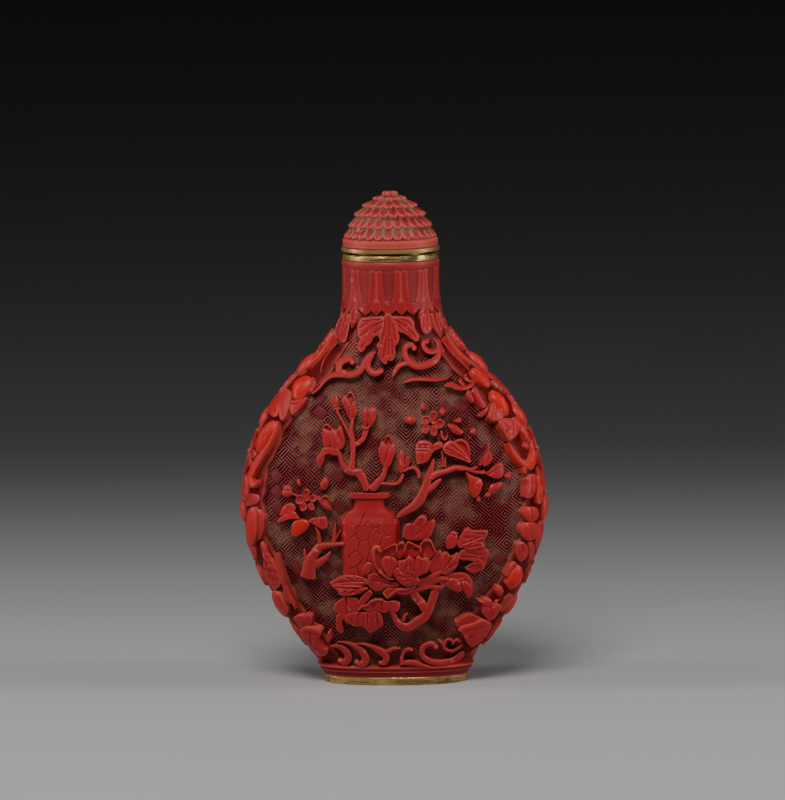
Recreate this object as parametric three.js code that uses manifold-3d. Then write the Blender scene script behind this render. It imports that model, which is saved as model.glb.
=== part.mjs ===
// Carved cinnabar lacquer snuff bottle: a flattened, hollow body with a round neck, brass lip and
// foot rims, and a domed stopper carved in tiers of scales.
// Millimetres, +Z up, the main face towards -Y, the origin under the middle of the foot.

import * as THREE from 'three';
import Module from 'manifold-3d';
import { mergeVertices } from 'three/addons/utils/BufferGeometryUtils.js';

const wasm = await Module();
wasm.setup();

// ---- Driving dimensions ----

const FOOT_HEIGHT = 1.3;
const FOOT_HALF_WIDTH = 11.7;
const FOOT_HALF_DEPTH = 6.7;
const FOOT_RING_WIDTH = 1.7;
const FOOT_RECESS = 0.5;

const MOULDING_TOP = 3.4;
const MOULDING_FLARE = 1.05;

const NECK_TOP = 68.5;
const NECK_RING_BOTTOM = 67.1;
const NECK_RING_RADIUS = 7.9;

const LIP_TOP = 69.5;
const LIP_RADIUS = 7.75;

const CAVITY_FLOOR = 5.2;
const WALL = 2.7;
const BORE_RADIUS = 4;

const PLUG_RADIUS = 3.6;
const PLUG_BOTTOM = 63.8;
const SEAT_RADIUS = 6.4;
const MOUNT_BOTTOM = 69.85;
const MOUNT_TOP = 70.6;
const MOUNT_RADIUS = 7.95;

const DOME_TOP = 79.4;
const DOME_BAND_TOP = 71.9;
const DOME_BAND_RADIUS = 7.7;
const DOME_RADIUS = 7.35;
const DOME_TIERS = 5;
const DOME_SCALES = 18;
const DOME_RISE = 7.6;
const DOME_BUTTON = 0.7;
const DOME_BUTTON_RADIUS = 1.4;
const SCALE_OVERHANG = 0.25;

// Half-width and half-depth of the lacquer ground at a few heights, with the relief left off.
const HALF_WIDTHS = [
  [1.3, 11.4], [3.4, 11.3], [7, 14], [12, 17.5], [18, 20.7], [24, 22.8], [29.5, 23.4], [35, 22.7],
  [41, 20.7], [46.5, 17.3], [51, 13.3], [55, 9.7], [58.5, 7.9], [62, 7.2], [68.5, 7.1],
];
const HALF_DEPTHS = [
  [1.3, 6.4], [3.4, 6.3], [12, 9.3], [29.5, 12], [46.5, 10], [55, 8], [60, 7.15], [68.5, 7.1],
];
const NECK_SQUARENESS = 2;
const BODY_SQUARENESS = 2.35;
const SQUARENESS_FROM = 58;
const SQUARENESS_TO = 48;

const BODY_SEGMENTS = 24;
const BODY_ROWS = 12;
const CAVITY_SEGMENTS = 16;
const CAVITY_ROWS = 7;
const RIM_SEGMENTS = 24;

const SINK = 0.7;
const RELIEF = 1.35;
const LAPPET_RELIEF = 0.8;

const point = (x, y) => new THREE.Vector2(x, y);
const radians = THREE.MathUtils.degToRad;

// ---- The ground surface ----

// The value at one height, on a smooth curve through the given [height, value] pairs.
function along(pairs, z) {
  const last = pairs.length - 2;
  const found = pairs.findIndex(([height]) => height > z) - 1;
  const i = found < 0 ? (z < pairs[0][0] ? 0 : last) : found;
  const slope = (k) => {
    const before = pairs[Math.max(k - 1, 0)];
    const after = pairs[Math.min(k + 1, last + 1)];
    return (after[1] - before[1]) / (after[0] - before[0]);
  };
  const [z0, v0] = pairs[i];
  const [z1, v1] = pairs[i + 1];
  const span = z1 - z0;
  const t = THREE.MathUtils.clamp((z - z0) / span, 0, 1);
  const hold = (1 + 2 * t) * (1 - t) ** 2 * v0 + t * t * (3 - 2 * t) * v1;
  return hold + span * (t * (1 - t) ** 2 * slope(i) - t * t * (1 - t) * slope(i + 1));
}

const halfWidth = (z) => along(HALF_WIDTHS, z);
const halfDepth = (z) => along(HALF_DEPTHS, z);

function squareness(z) {
  const body = 1 - THREE.MathUtils.smoothstep(z, SQUARENESS_TO, SQUARENESS_FROM);
  return THREE.MathUtils.lerp(NECK_SQUARENESS, BODY_SQUARENESS, body);
}

// How far out a point lies: 1 on the ground, less inside it.
function fullness(p) {
  const n = squareness(p.z);
  const x = Math.abs(p.x) / halfWidth(p.z);
  const y = Math.abs(p.y) / halfDepth(p.z);
  return (x ** n + y ** n) ** (1 / n);
}

function outward(p) {
  const step = 0.01;
  const change = (axis) => {
    const ahead = p.clone();
    const behind = p.clone();
    ahead[axis] += step;
    behind[axis] -= step;
    return fullness(ahead) - fullness(behind);
  };
  return new THREE.Vector3(change('x'), change('y'), change('z')).normalize();
}

// The ground at a turn in degrees from the front, positive to the right, and a height.
function onGround(turn, z) {
  const power = 2 / squareness(z);
  const across = Math.sin(radians(turn));
  const back = -Math.cos(radians(turn));
  const x = Math.sign(across) * Math.abs(across) ** power * halfWidth(z);
  const y = Math.sign(back) * Math.abs(back) ** power * halfDepth(z);
  return new THREE.Vector3(x, y, z);
}

// ---- Ways to lay flat carving (u across, v up, h out) on the ground ----

function front(u, v, h) {
  const n = squareness(v);
  const x = Math.min(Math.abs(u) / halfWidth(v), 0.97);
  return new THREE.Vector3(u, -halfDepth(v) * (1 - x ** n) ** (1 / n) - h, v);
}

function back(u, v, h) {
  const p = front(u, v, h);
  return new THREE.Vector3(-p.x, -p.y, p.z);
}

function patch(turn, height) {
  const origin = onGround(turn, height);
  const normal = outward(origin);
  const side = new THREE.Vector3(0, 0, 1).cross(normal).normalize();
  const up = normal.clone().cross(side);
  return (u, v, h) => {
    const p = origin.clone().addScaledVector(side, u).addScaledVector(up, v);
    const k = fullness(p);
    p.set(p.x / k, p.y / k, p.z);
    return p.addScaledVector(outward(p), h);
  };
}

// ---- Solids ----

function solid(geometry) {
  geometry.deleteAttribute('normal');
  geometry.deleteAttribute('uv');
  const merged = mergeVertices(geometry);
  const index = merged.index.array;
  const triVerts = [];
  for (let i = 0; i < index.length; i += 3) {
    const [a, b, c] = index.slice(i, i + 3);
    if (a !== b && b !== c && c !== a) triVerts.push(a, b, c);
  }
  return new wasm.Manifold(new wasm.Mesh({
    numProp: 3,
    vertProperties: merged.attributes.position.array,
    triVerts: new Uint32Array(triVerts),
  }));
}

function shaped(geometry, place) {
  const position = geometry.attributes.position;
  const p = new THREE.Vector3();
  for (let i = 0; i < position.count; i += 1) {
    p.copy(place(p.fromBufferAttribute(position, i)));
    position.setXYZ(i, p.x, p.y, p.z);
  }
  return solid(geometry);
}

const join = (solids) => solids.reduce((all, next) => all.add(next));

// A round solid from [radius, height] pairs that run up the outside, stood upright.
function turned(pairs, segments, place = (p) => p) {
  const lathe = new THREE.LatheGeometry(pairs.map(([r, z]) => point(r, z)), segments);
  return shaped(lathe, (p) => place(p.set(p.x, -p.z, p.y)));
}

// The ground's own shape, drawn in by an inset, between two heights.
function oval(bottom, top, rows, segments, inset, least) {
  const pairs = [[0, bottom]];
  for (let i = 0; i <= rows; i += 1) {
    pairs.push([1, bottom + ((top - bottom) * i) / rows]);
  }
  pairs.push([0, top]);
  return turned(pairs, segments, (p) => {
    const reach = Math.hypot(p.x, p.y);
    if (reach < 0.5) return p.set(0, 0, p.z);
    const n = squareness(p.z);
    const a = Math.max(halfWidth(p.z) - inset, least);
    const b = Math.max(halfDepth(p.z) - inset, least);
    const size = (Math.abs(p.x / a) ** n + Math.abs(p.y / b) ** n) ** (-1 / n);
    return p.set(p.x * size, p.y * size, p.z);
  });
}

// Takes a unit circle to the foot's oval.
function footOval(p) {
  const reach = Math.hypot(p.x, p.y);
  if (reach === 0) return p;
  const n = BODY_SQUARENESS;
  const x = Math.abs(p.x / (reach * FOOT_HALF_WIDTH));
  const y = Math.abs(p.y / (reach * FOOT_HALF_DEPTH));
  const size = (x ** n + y ** n) ** (-1 / n);
  return p.set(p.x * size, p.y * size, p.z);
}

// A strip along a curve: half(t) is its half-width and rise(t, s) its height, s running 0 to 1
// from the middle to either edge.
function strip(lay, curve, rows, half, rise, columns = 2) {
  const box = new THREE.BoxGeometry(2, 1, 1, columns, rows, 1);
  return shaped(box, (p) => {
    const t = p.y + 0.5;
    const middle = curve.getPoint(t);
    const ahead = curve.getTangent(t);
    const reach = p.x * half(t);
    const h = p.z > 0 ? rise(t, Math.abs(p.x)) : -SINK;
    return lay(middle.x + ahead.y * reach, middle.y - ahead.x * reach, h);
  });
}

// ---- Carved motifs ----

function bowed(from, to, bend) {
  const middle = from.clone().add(to).multiplyScalar(0.5);
  const sideways = point(from.y - to.y, to.x - from.x).multiplyScalar(bend);
  return new THREE.QuadraticBezierCurve(from, middle.add(sideways), to);
}

// A leaf or petal with a raised midrib, pointed at both ends.
function leaf(lay, x0, z0, x1, z1, width, bend = 0, rows = 2, height = RELIEF) {
  const shape = (t) => (t > 0 && t < 1 ? (width / 2) * Math.sin(Math.PI * t ** 0.8) : 0);
  const rise = (t, s) => height * (0.8 + 0.2 * Math.sin(Math.PI * t)) - 0.4 * s;
  return strip(lay, bowed(point(x0, z0), point(x1, z1), bend), rows, shape, rise);
}

// A stem through the given points, tapering from one width to another.
function stem(lay, places, wide, narrow, height = RELIEF) {
  const curve = new THREE.SplineCurve(places.map(([x, z]) => point(x, z)));
  const rows = places.length - 1;
  const half = (t) => THREE.MathUtils.lerp(wide, narrow, t) / 2;
  return strip(lay, curve, rows, half, () => height, 1);
}

// A curled tendril that winds in towards its centre.
function scroll(lay, x, z, radius, start, sweep, width, height = RELIEF) {
  const places = [];
  const steps = Math.ceil(Math.abs(sweep) / 62);
  for (let i = 0; i <= steps; i += 1) {
    const r = radius * (1 - (0.62 * i) / steps);
    const angle = radians(start + (sweep * i) / steps);
    places.push(point(x + r * Math.cos(angle), z + r * Math.sin(angle)));
  }
  const curve = new THREE.SplineCurve(places);
  const half = (t) => (width / 2) * (0.5 + 0.5 * Math.min(1, 4 * t));
  return strip(lay, curve, steps, half, () => height, 1);
}

// A rounded bud, fruit or boss with its long axis turned from upright.
function bud(lay, x, z, width, length, turn = 0, height = RELIEF) {
  const lean = radians(turn);
  return shaped(new THREE.SphereGeometry(1, 6, 4), (p) => {
    const u = (p.x * width) / 2;
    const v = (p.y * length) / 2;
    const across = x + u * Math.cos(lean) - v * Math.sin(lean);
    return lay(across, z + u * Math.sin(lean) + v * Math.cos(lean), p.z * height);
  });
}

// An open flower with notched petals round a sunk or raised middle.
function blossom(lay, x, z, radius, petals, rim, middle, corners = 2) {
  const edges = petals * corners;
  return shaped(new THREE.CylinderGeometry(1, 1, 1, edges, 1), (p) => {
    const angle = Math.atan2(p.z, p.x);
    const reach = Math.hypot(p.x, p.z);
    const step = Math.round((angle / (2 * Math.PI)) * edges + edges / 4);
    const size = reach * radius * (step % corners === 0 ? 0.62 : 1);
    const top = reach < 0.5 ? middle : rim;
    return lay(x + size * Math.cos(angle), z - size * Math.sin(angle), p.y > 0 ? top : -SINK);
  });
}

function vase(lay) {
  const x = -3.1;
  const bottom = 15;
  const depth = 0.5;
  const outline = [
    [0, bottom], [3.3, bottom], [3.9, 19], [4.05, 27.2], [3.7, 28.3], [2.4, 29.6], [2.35, 31],
    [3.25, 31.3], [3.25, 32.1], [0, 32.1],
  ];
  return turned(outline, 10, (p) => lay(x + p.x, p.z, -p.y * depth));
}

function magnolia(lay) {
  return [
    stem(lay, [[-3.6, 32], [-5.7, 35.2], [-5.8, 39.5], [-6.1, 43.6]], 1.6, 0.9),
    stem(lay, [[-6.1, 40.8], [-7.6, 43], [-8.5, 45.3]], 0.7, 0.5),
    stem(lay, [[-5.7, 39.4], [-3.4, 42.5]], 0.8, 0.6),
    stem(lay, [[-5.7, 35], [-7.2, 36.6], [-8.3, 38.8]], 1, 0.8),
    stem(lay, [[-3, 32], [-0.5, 36.4]], 1.2, 0.8),
    bud(lay, -6.2, 45.7, 2.4, 4.8, 0),
    leaf(lay, -8.5, 44.9, -8.7, 47.9, 1.9),
    leaf(lay, -3.5, 42.2, -2.8, 46, 2.5),
    bud(lay, -8.9, 40.6, 3.1, 4.6, 12),
    leaf(lay, -8.8, 38.6, -11.6, 36.4, 1.8),
    bud(lay, -0.3, 38.4, 2.5, 5.6, -8),
    leaf(lay, 1.5, 35, 2.9, 38.9, 2.4),
  ];
}

function plumBranch(lay) {
  return [
    stem(lay, [[1.6, 27.6], [4.3, 30.4], [7, 35.2]], 1.9, 1.3),
    stem(lay, [[7, 35.2], [11.4, 36.2], [14.1, 35.6]], 1.3, 0.8),
    stem(lay, [[7.4, 35], [8.6, 39.6]], 0.9, 0.6),
    stem(lay, [[5.5, 31.7], [8.3, 33.9]], 1, 0.6),
    leaf(lay, 8.6, 39.6, 4.4, 36.6, 3, 0.16, 3),
    leaf(lay, 8.8, 39.6, 13.2, 36.6, 3, -0.16, 3),
    blossom(lay, 7, 43, 2.1, 5, RELIEF, 0.8),
    leaf(lay, 4.4, 43.2, 2.5, 43.7, 1.3),
    leaf(lay, 5.6, 44.9, 5, 46.9, 1.3),
    leaf(lay, 9.6, 42.7, 11.7, 41.8, 1.4),
    leaf(lay, 12.4, 42.6, 14.2, 41.1, 1.7),
    leaf(lay, 14, 35.6, 15.9, 39.9, 2.4, -0.1),
    leaf(lay, 14.2, 35.6, 18.2, 36.8, 2, 0.1),
    leaf(lay, 12.4, 35.6, 13.8, 31, 2.7, 0.12),
    leaf(lay, 15.6, 33.4, 18.2, 31.9, 2.2),
  ];
}

function plumSprig(lay) {
  return [
    stem(lay, [[-7.4, 23.8], [-11, 23.1], [-12.9, 17.9]], 1.1, 2.5),
    stem(lay, [[-12, 22], [-13.2, 28.6]], 0.9, 0.6),
    blossom(lay, -13.3, 30.7, 1.9, 5, RELIEF, 0.8),
    leaf(lay, -13.6, 28.9, -17.4, 28.2, 2.4, -0.1),
    leaf(lay, -13.5, 28.4, -14.6, 24.6, 2.5, 0.08),
    leaf(lay, -13, 28.4, -9.8, 26.6, 2.2, 0.1),
    leaf(lay, -15.4, 31.8, -17, 32.9, 1.4),
    leaf(lay, -11.1, 32.6, -9.5, 34.2, 1.4),
  ];
}

function peony(lay) {
  const x = 3;
  const z = 18.9;
  return [
    blossom(lay, x - 0.3, z - 0.5, 6, 6, 1.3, 1.5, 3),
    blossom(lay, x, z + 0.6, 4.4, 5, 1.75, 1.9, 3),
    blossom(lay, x + 0.4, z + 0.8, 2.6, 3, 2.15, 1.7, 3),
    leaf(lay, -3, 17.2, -9.4, 17.3, 3.8, 0.1, 3),
    leaf(lay, -2.6, 15.4, -8.9, 12.2, 3, -0.1),
    leaf(lay, -3, 13.8, -5.6, 9.4, 3.8),
    leaf(lay, 0.6, 14.4, -2.2, 9.2, 3.8),
    leaf(lay, 3.7, 23.6, 5.8, 28.2, 4.2, 0, 3),
    leaf(lay, 8.4, 22.6, 15.8, 25.4, 3.8, 0.08, 3),
    leaf(lay, 8.6, 21.2, 15.6, 20.6, 3.8, 0.1, 3),
    leaf(lay, 8.8, 18.4, 13.2, 15.2, 3.4, 0.08),
    stem(lay, [[8.4, 16.6], [6.6, 11.2], [2.2, 9.7]], 1.2, 0.9),
  ];
}

// Scrolls under the picture, from the left corner to the right.
function lowerScrolls(lay) {
  return [
    scroll(lay, -7.8, 5.9, 1.9, 60, 240, 0.9),
    scroll(lay, -4, 6, 2.2, 50, 240, 1),
    scroll(lay, 0, 6.1, 2.2, 50, 240, 1),
    scroll(lay, 3.6, 5.8, 1.8, 160, -230, 1),
    scroll(lay, 7.9, 6.2, 2.6, 40, 240, 1.2),
  ];
}

// Scrolls over the picture, either side of the hanging leaf.
function upperScrolls(lay) {
  return [
    stem(lay, [[-11, 50.3], [-8.6, 51.3], [-4.6, 51.8], [-2.8, 54.2]], 0.9, 1.2),
    scroll(lay, -1.6, 52, 1.7, 110, 240, 0.9),
    stem(lay, [[0.8, 50.6], [3, 52], [6.6, 52.2], [8, 55]], 0.9, 1.3),
    scroll(lay, 5.3, 54.9, 2, 20, 250, 1),
  ];
}

// The lobed leaf that hangs from the neck over the picture.
function hangingLeaf(lay) {
  const lobes = [[-0.3, 52.8, 3.8], [-4.6, 54.6, 3], [4.3, 56.2, 3]];
  return lobes.map(([x, z, width]) => leaf(lay, -0.1 * x, 60.6, x, z, width, 0, 3));
}

// Pointed lappets round the neck.
function lappets() {
  const count = 12;
  const halves = [1.75, 1.7, 0.15];
  const hang = new THREE.LineCurve(point(0, 3.2), point(0, -4.3));
  return Array.from({ length: count }, (_, i) => strip(
    patch((360 / count) * i, 64),
    hang,
    2,
    (t) => halves[Math.round(t * 2)],
    () => LAPPET_RELIEF,
    1,
  ));
}

// Long leaves that hang from the neck round the shoulders, between the two middle leaves.
function shoulderLeaves() {
  return [68, 112, 248, 292].map((turn) => leaf(patch(turn, 58.4), 0, 2.2, 0, -2.4, 2.4));
}

// Carving down one edge of the face: turn from the front, height, length, width, lean from
// upright, and whether it is a fruit.
const EDGE = [
  [60, 52, 4.4, 2.8, -35, false], [66, 47.6, 3.8, 3.2, -30, true], [56, 43, 5.6, 3.6, -40, false],
  [66, 37, 5.4, 3.6, -14, true], [66, 29.6, 6.8, 3.2, 4, false], [62, 22.4, 5.6, 3.2, 14, false],
  [58, 16, 4.6, 3.4, 28, true], [51, 10, 5.4, 3.6, 46, false],
];

// Carving down the middle of each side, in the same terms.
const SIDE = [
  [90, 43.6, 6, 3.6, 12, false], [92, 33.4, 5.4, 3.8, -10, true], [88, 23, 6.6, 3.6, 12, false],
  [92, 12.8, 5.4, 3.2, -8, true],
];

function edgeMotif([turn, z, length, width, lean, fruit], sign, start) {
  const lay = patch(start + sign * turn, z);
  if (fruit) return bud(lay, 0, 0, width, length, sign * lean);
  const u = (Math.sin(radians(sign * lean)) * length) / 2;
  const v = (Math.cos(radians(lean)) * length) / 2;
  return leaf(lay, u, -v, -u, v, width);
}

function edgeCarving() {
  return [0, 180].flatMap((start) => [
    ...EDGE.map((row) => edgeMotif(row, 1, start)),
    ...EDGE.map((row) => edgeMotif(row, -1, start)),
    ...SIDE.map((row) => edgeMotif(row, 1, start)),
  ]);
}

// The plainer back: one flowering branch across the panel.
function backSpray(lay) {
  return [
    stem(lay, [[-9, 13], [0, 23], [3.5, 29], [2.6, 42]], 2.1, 0.9),
    stem(lay, [[-1, 23], [-9.4, 31.4]], 1.3, 0.7),
    stem(lay, [[3.8, 30], [11.6, 36]], 1.1, 0.7),
    blossom(lay, -10.2, 34, 3.2, 5, RELIEF, 0.8),
    blossom(lay, 12.2, 37.2, 3, 5, RELIEF, 0.8),
    blossom(lay, 2, 44, 3, 5, RELIEF, 0.8),
    blossom(lay, 6.4, 18.8, 4.4, 6, RELIEF, 1.7, 3),
    leaf(lay, 4.2, 35, -1.4, 37.4, 3.2, 0.1),
    leaf(lay, -3.6, 19.6, -11.4, 20.2, 3.6, -0.1),
  ];
}

// ---- The pieces ----

function bottle() {
  const ground = oval(FOOT_HEIGHT, NECK_TOP, BODY_ROWS, BODY_SEGMENTS, 0, 1);
  const moulding = turned(
    [[0, FOOT_HEIGHT], [1, FOOT_HEIGHT], [MOULDING_FLARE, MOULDING_TOP], [0, MOULDING_TOP]],
    RIM_SEGMENTS,
    footOval,
  );
  const ring = turned(
    [
      [0, NECK_RING_BOTTOM], [NECK_RING_RADIUS, NECK_RING_BOTTOM],
      [NECK_RING_RADIUS, NECK_TOP], [0, NECK_TOP],
    ],
    RIM_SEGMENTS,
  );
  const carving = [
    vase(front), ...magnolia(front), ...plumBranch(front), ...plumSprig(front), ...peony(front),
    ...lowerScrolls(front), ...upperScrolls(front), ...hangingLeaf(front),
    ...backSpray(back), ...lowerScrolls(back), ...upperScrolls(back), ...hangingLeaf(back),
    ...lappets(), ...shoulderLeaves(), ...edgeCarving(),
  ];
  const cavity = oval(CAVITY_FLOOR, NECK_TOP + 1, CAVITY_ROWS, CAVITY_SEGMENTS, WALL, BORE_RADIUS);
  return join([ground, moulding, ring, ...carving]).subtract(cavity);
}

// A flat brass ring on the mouth, bored like the neck.
function lipRim() {
  return turned(
    [
      [BORE_RADIUS, NECK_TOP], [LIP_RADIUS, NECK_TOP], [LIP_RADIUS, LIP_TOP],
      [BORE_RADIUS, LIP_TOP], [BORE_RADIUS, NECK_TOP],
    ],
    RIM_SEGMENTS,
  );
}

// The oval brass foot, slightly dished underneath so that it stands on its rim.
function footRim() {
  const inner = 1 - FOOT_RING_WIDTH / FOOT_HALF_DEPTH;
  return turned(
    [[0, FOOT_RECESS], [inner, FOOT_RECESS], [inner, 0], [1, 0], [1, FOOT_HEIGHT], [0, FOOT_HEIGHT]],
    RIM_SEGMENTS,
    footOval,
  );
}

// The dome: a plain band, then tiers of scales that overhang one another up to a small button.
function stopper() {
  const edges = DOME_SCALES * 2;
  const tiersTop = DOME_TOP - DOME_BUTTON;
  const tier = (tiersTop - DOME_BAND_TOP) / DOME_TIERS;
  const radius = (z) => DOME_RADIUS * (1 - ((z - DOME_BAND_TOP) / DOME_RISE) ** 2) ** 0.58;
  const pairs = [[0, MOUNT_TOP], [DOME_BAND_RADIUS, MOUNT_TOP], [DOME_BAND_RADIUS, DOME_BAND_TOP]];
  for (let low = DOME_BAND_TOP; low < tiersTop - 0.1; low += tier) {
    pairs.push([radius(low), low], [radius(low + tier) - SCALE_OVERHANG, low + tier]);
  }
  pairs.push([DOME_BUTTON_RADIUS, tiersTop], [DOME_BUTTON_RADIUS, DOME_TOP], [0, DOME_TOP]);
  return turned(pairs, edges, (p) => {
    const step = Math.round((Math.atan2(p.x, p.y) / (2 * Math.PI)) * edges + edges);
    const scalloped = p.z > DOME_BAND_TOP + 0.01 && p.z < tiersTop - 0.01;
    const size = scalloped && step % 2 === 0 ? 0.95 : 1;
    return p.set(p.x * size, p.y * size, p.z);
  });
}

// The dome's brass mount: a plug in the neck, a seat on the lip, and the ring that shows.
function stopperRim() {
  return turned(
    [
      [0, PLUG_BOTTOM], [PLUG_RADIUS, PLUG_BOTTOM], [PLUG_RADIUS, LIP_TOP], [SEAT_RADIUS, LIP_TOP],
      [SEAT_RADIUS, MOUNT_BOTTOM], [MOUNT_RADIUS, MOUNT_BOTTOM], [MOUNT_RADIUS, MOUNT_TOP], [0, MOUNT_TOP],
    ],
    RIM_SEGMENTS,
  );
}

// ---- The model ----

const lacquer = new THREE.MeshStandardMaterial({ color: 0x9c2a26, roughness: 0.42, metalness: 0 });
const wornLacquer = new THREE.MeshStandardMaterial({ color: 0xa84a42, roughness: 0.5, metalness: 0 });
const brass = new THREE.MeshStandardMaterial({ color: 0x9a7c50, roughness: 0.45, metalness: 1 });

function piece(name, made, material) {
  const { vertProperties, triVerts } = made.getMesh();
  const geometry = new THREE.BufferGeometry();
  geometry.setAttribute('position', new THREE.BufferAttribute(vertProperties, 3));
  geometry.setIndex(new THREE.BufferAttribute(triVerts, 1));
  geometry.computeVertexNormals();
  const mesh = new THREE.Mesh(geometry, material);
  mesh.name = name;
  return mesh;
}

const group = new THREE.Group();
group.add(
  piece('bottle', bottle(), lacquer),
  piece('lip_rim', lipRim(), brass),
  piece('foot_rim', footRim(), brass),
  piece('stopper', stopper(), wornLacquer),
  piece('stopper_rim', stopperRim(), brass),
);

export default group;
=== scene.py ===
"""Carved cinnabar lacquer snuff bottle with a domed stopper, brass lip and brass foot.

Lengths inside the carving functions are millimetres; a mesh is scaled to metres when it is made.
"""

import math

import bpy
import numpy as np
from mathutils import Matrix, Vector


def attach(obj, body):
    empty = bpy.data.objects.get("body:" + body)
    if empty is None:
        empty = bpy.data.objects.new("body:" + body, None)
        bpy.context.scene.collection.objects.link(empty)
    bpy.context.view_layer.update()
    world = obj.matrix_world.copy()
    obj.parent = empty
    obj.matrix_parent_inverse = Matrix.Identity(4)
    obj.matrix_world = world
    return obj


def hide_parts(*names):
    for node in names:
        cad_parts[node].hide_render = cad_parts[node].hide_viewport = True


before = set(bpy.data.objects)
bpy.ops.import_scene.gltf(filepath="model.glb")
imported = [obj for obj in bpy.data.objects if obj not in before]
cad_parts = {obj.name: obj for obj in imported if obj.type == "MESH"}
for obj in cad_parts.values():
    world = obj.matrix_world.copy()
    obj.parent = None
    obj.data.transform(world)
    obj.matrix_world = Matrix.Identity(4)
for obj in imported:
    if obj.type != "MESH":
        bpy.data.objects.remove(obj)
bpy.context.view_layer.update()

bl_info = {
    "name": "Carved lacquer snuff bottle",
    "version": (1, 0, 0),
    "blender": (4, 5, 0),
    "location": "View3D > Sidebar > Snuff Bottle",
    "description": "Builds a carved cinnabar lacquer snuff bottle with its stopper",
    "category": "Add Mesh",
}

MM = 0.001
PI = math.pi

# ---- The ground surface that the carving stands on ----

HALF_WIDTHS = np.array([
    (1.3, 11.4), (3.4, 11.3), (7, 14), (12, 17.5), (18, 20.7), (24, 22.8), (29.5, 23.4), (35, 22.7),
    (41, 20.7), (46.5, 17.3), (51, 13.3), (55, 9.7), (58.5, 7.9), (62, 7.2), (68.5, 7.1),
])
HALF_DEPTHS = np.array([
    (1.3, 6.4), (3.4, 6.3), (12, 9.3), (29.5, 12), (46.5, 10), (55, 8), (60, 7.15), (68.5, 7.1),
])
NECK_SQUARENESS = 2
BODY_SQUARENESS = 2.35
FOOT_HEIGHT, FOOT_HALF_WIDTH, FOOT_HALF_DEPTH = 1.3, 11.7, 6.7
NECK_TOP = 68.5
CAVITY_FLOOR = 5.2
BORE_RADIUS = 4.0
SINK = 0.6
PANEL_DEPTH = 0.36


def smooth(low, high, value):
    t = np.clip((value - low) / (high - low), 0, 1)
    return t * t * (3 - 2 * t)


def along(pairs, z):
    """The value at each height, on a smooth curve through (height, value) pairs."""
    heights, values = pairs[:, 0], pairs[:, 1]
    last = len(heights) - 1
    before, after = np.maximum(np.arange(last + 1) - 1, 0), np.minimum(np.arange(last + 1) + 1, last)
    slopes = (values[after] - values[before]) / (heights[after] - heights[before])
    i = np.clip(np.searchsorted(heights, z, side="right") - 1, 0, last - 1)
    span = heights[i + 1] - heights[i]
    t = np.clip((z - heights[i]) / span, 0, 1)
    hold = (1 + 2 * t) * (1 - t) ** 2 * values[i] + t * t * (3 - 2 * t) * values[i + 1]
    return hold + span * (t * (1 - t) ** 2 * slopes[i] - t * t * (1 - t) * slopes[i + 1])


def section(z):
    """Half-width, half-depth and squareness of the ground at each height."""
    body = 1 - smooth(48, 58, z)
    return (along(HALF_WIDTHS, z), along(HALF_DEPTHS, z),
            NECK_SQUARENESS + (BODY_SQUARENESS - NECK_SQUARENESS) * body)


def fullness(p):
    """How far out each point lies: 1 on the ground, less inside it."""
    a, b, n = section(p[:, 2])
    return (np.abs(p[:, 0] / a) ** n + np.abs(p[:, 1] / b) ** n) ** (1 / n)


def outward(p):
    step = 0.01
    change = [fullness(p + step * axis) - fullness(p - step * axis) for axis in np.eye(3)]
    normal = np.stack(change, axis=1)
    return normal / np.linalg.norm(normal, axis=1, keepdims=True)


def on_ground(turn, z):
    """Points on the ground at turns in degrees from the front and heights."""
    turn, z = np.broadcast_arrays(np.asarray(turn, float), np.asarray(z, float))
    a, b, n = section(z)
    across, back = np.sin(np.radians(turn)), -np.cos(np.radians(turn))
    return np.stack([np.sign(across) * np.abs(across) ** (2 / n) * a,
                     np.sign(back) * np.abs(back) ** (2 / n) * b, z], axis=-1)


def turn_at(u, z):
    """The turn in degrees of a front point u across and z up."""
    a, _, n = section(z)
    share = np.clip(np.abs(u) / a, 0, 1)
    return np.sign(u) * np.degrees(np.arcsin(share ** (n / 2)))


def front(u, v, h):
    """Lays flat carving, u across, v up and h out, on the front."""
    a, b, n = section(v)
    x = np.minimum(np.abs(u) / a, 0.97)
    return np.stack([u, -b * (1 - x ** n) ** (1 / n) - h, v], axis=1)


def back(u, v, h):
    return front(u, v, h) * (-1, -1, 1)


def patch(turn, height):
    """A way to lay flat carving round one point of the ground."""
    origin = on_ground(turn, height)[None, :]
    normal = outward(origin)[0]
    side = np.cross((0, 0, 1), normal)
    side /= np.linalg.norm(side)
    up = np.cross(normal, side)

    def lay(u, v, h):
        p = origin + u[:, None] * side + v[:, None] * up
        p[:, :2] /= fullness(p)[:, None]
        return p + outward(p) * h[:, None]
    return lay


# ---- Places drawn as they are seen ----

# The outlines of the face and of its borders are drawn in millimetres as the camera of the stage
# sees the bottle, on an upright sheet through its middle. The formulas here find where on the
# bottle each drawn place lies, to a tenth of a millimetre.
VIEW_TURN, VIEW_RISE, VIEW_ROLL = math.radians(3), math.radians(6.6), math.radians(-0.8)
VIEW_DISTANCE, VIEW_HEIGHT = 1008, 45.55
# what the camera looks at on the sheet, and how far away a thing is seen at its own size
SHEET_MIDDLE = np.array([0.56, 46.934])
SHEET_SIZE = np.array([999.11, 1014.1])
# height of the face's carving where its places are drawn, and how far a border form's edge is
# below its top
FACE_RELIEF, BORDER_RIM = 1.3, 0.1
# mm of a side's drawing to each degree round the bottle, and the turns that its carving can reach
AROUND = 0.3
SIDE_TURNS = np.arange(5, 100.5, 0.5)
PASSES = 12


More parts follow.
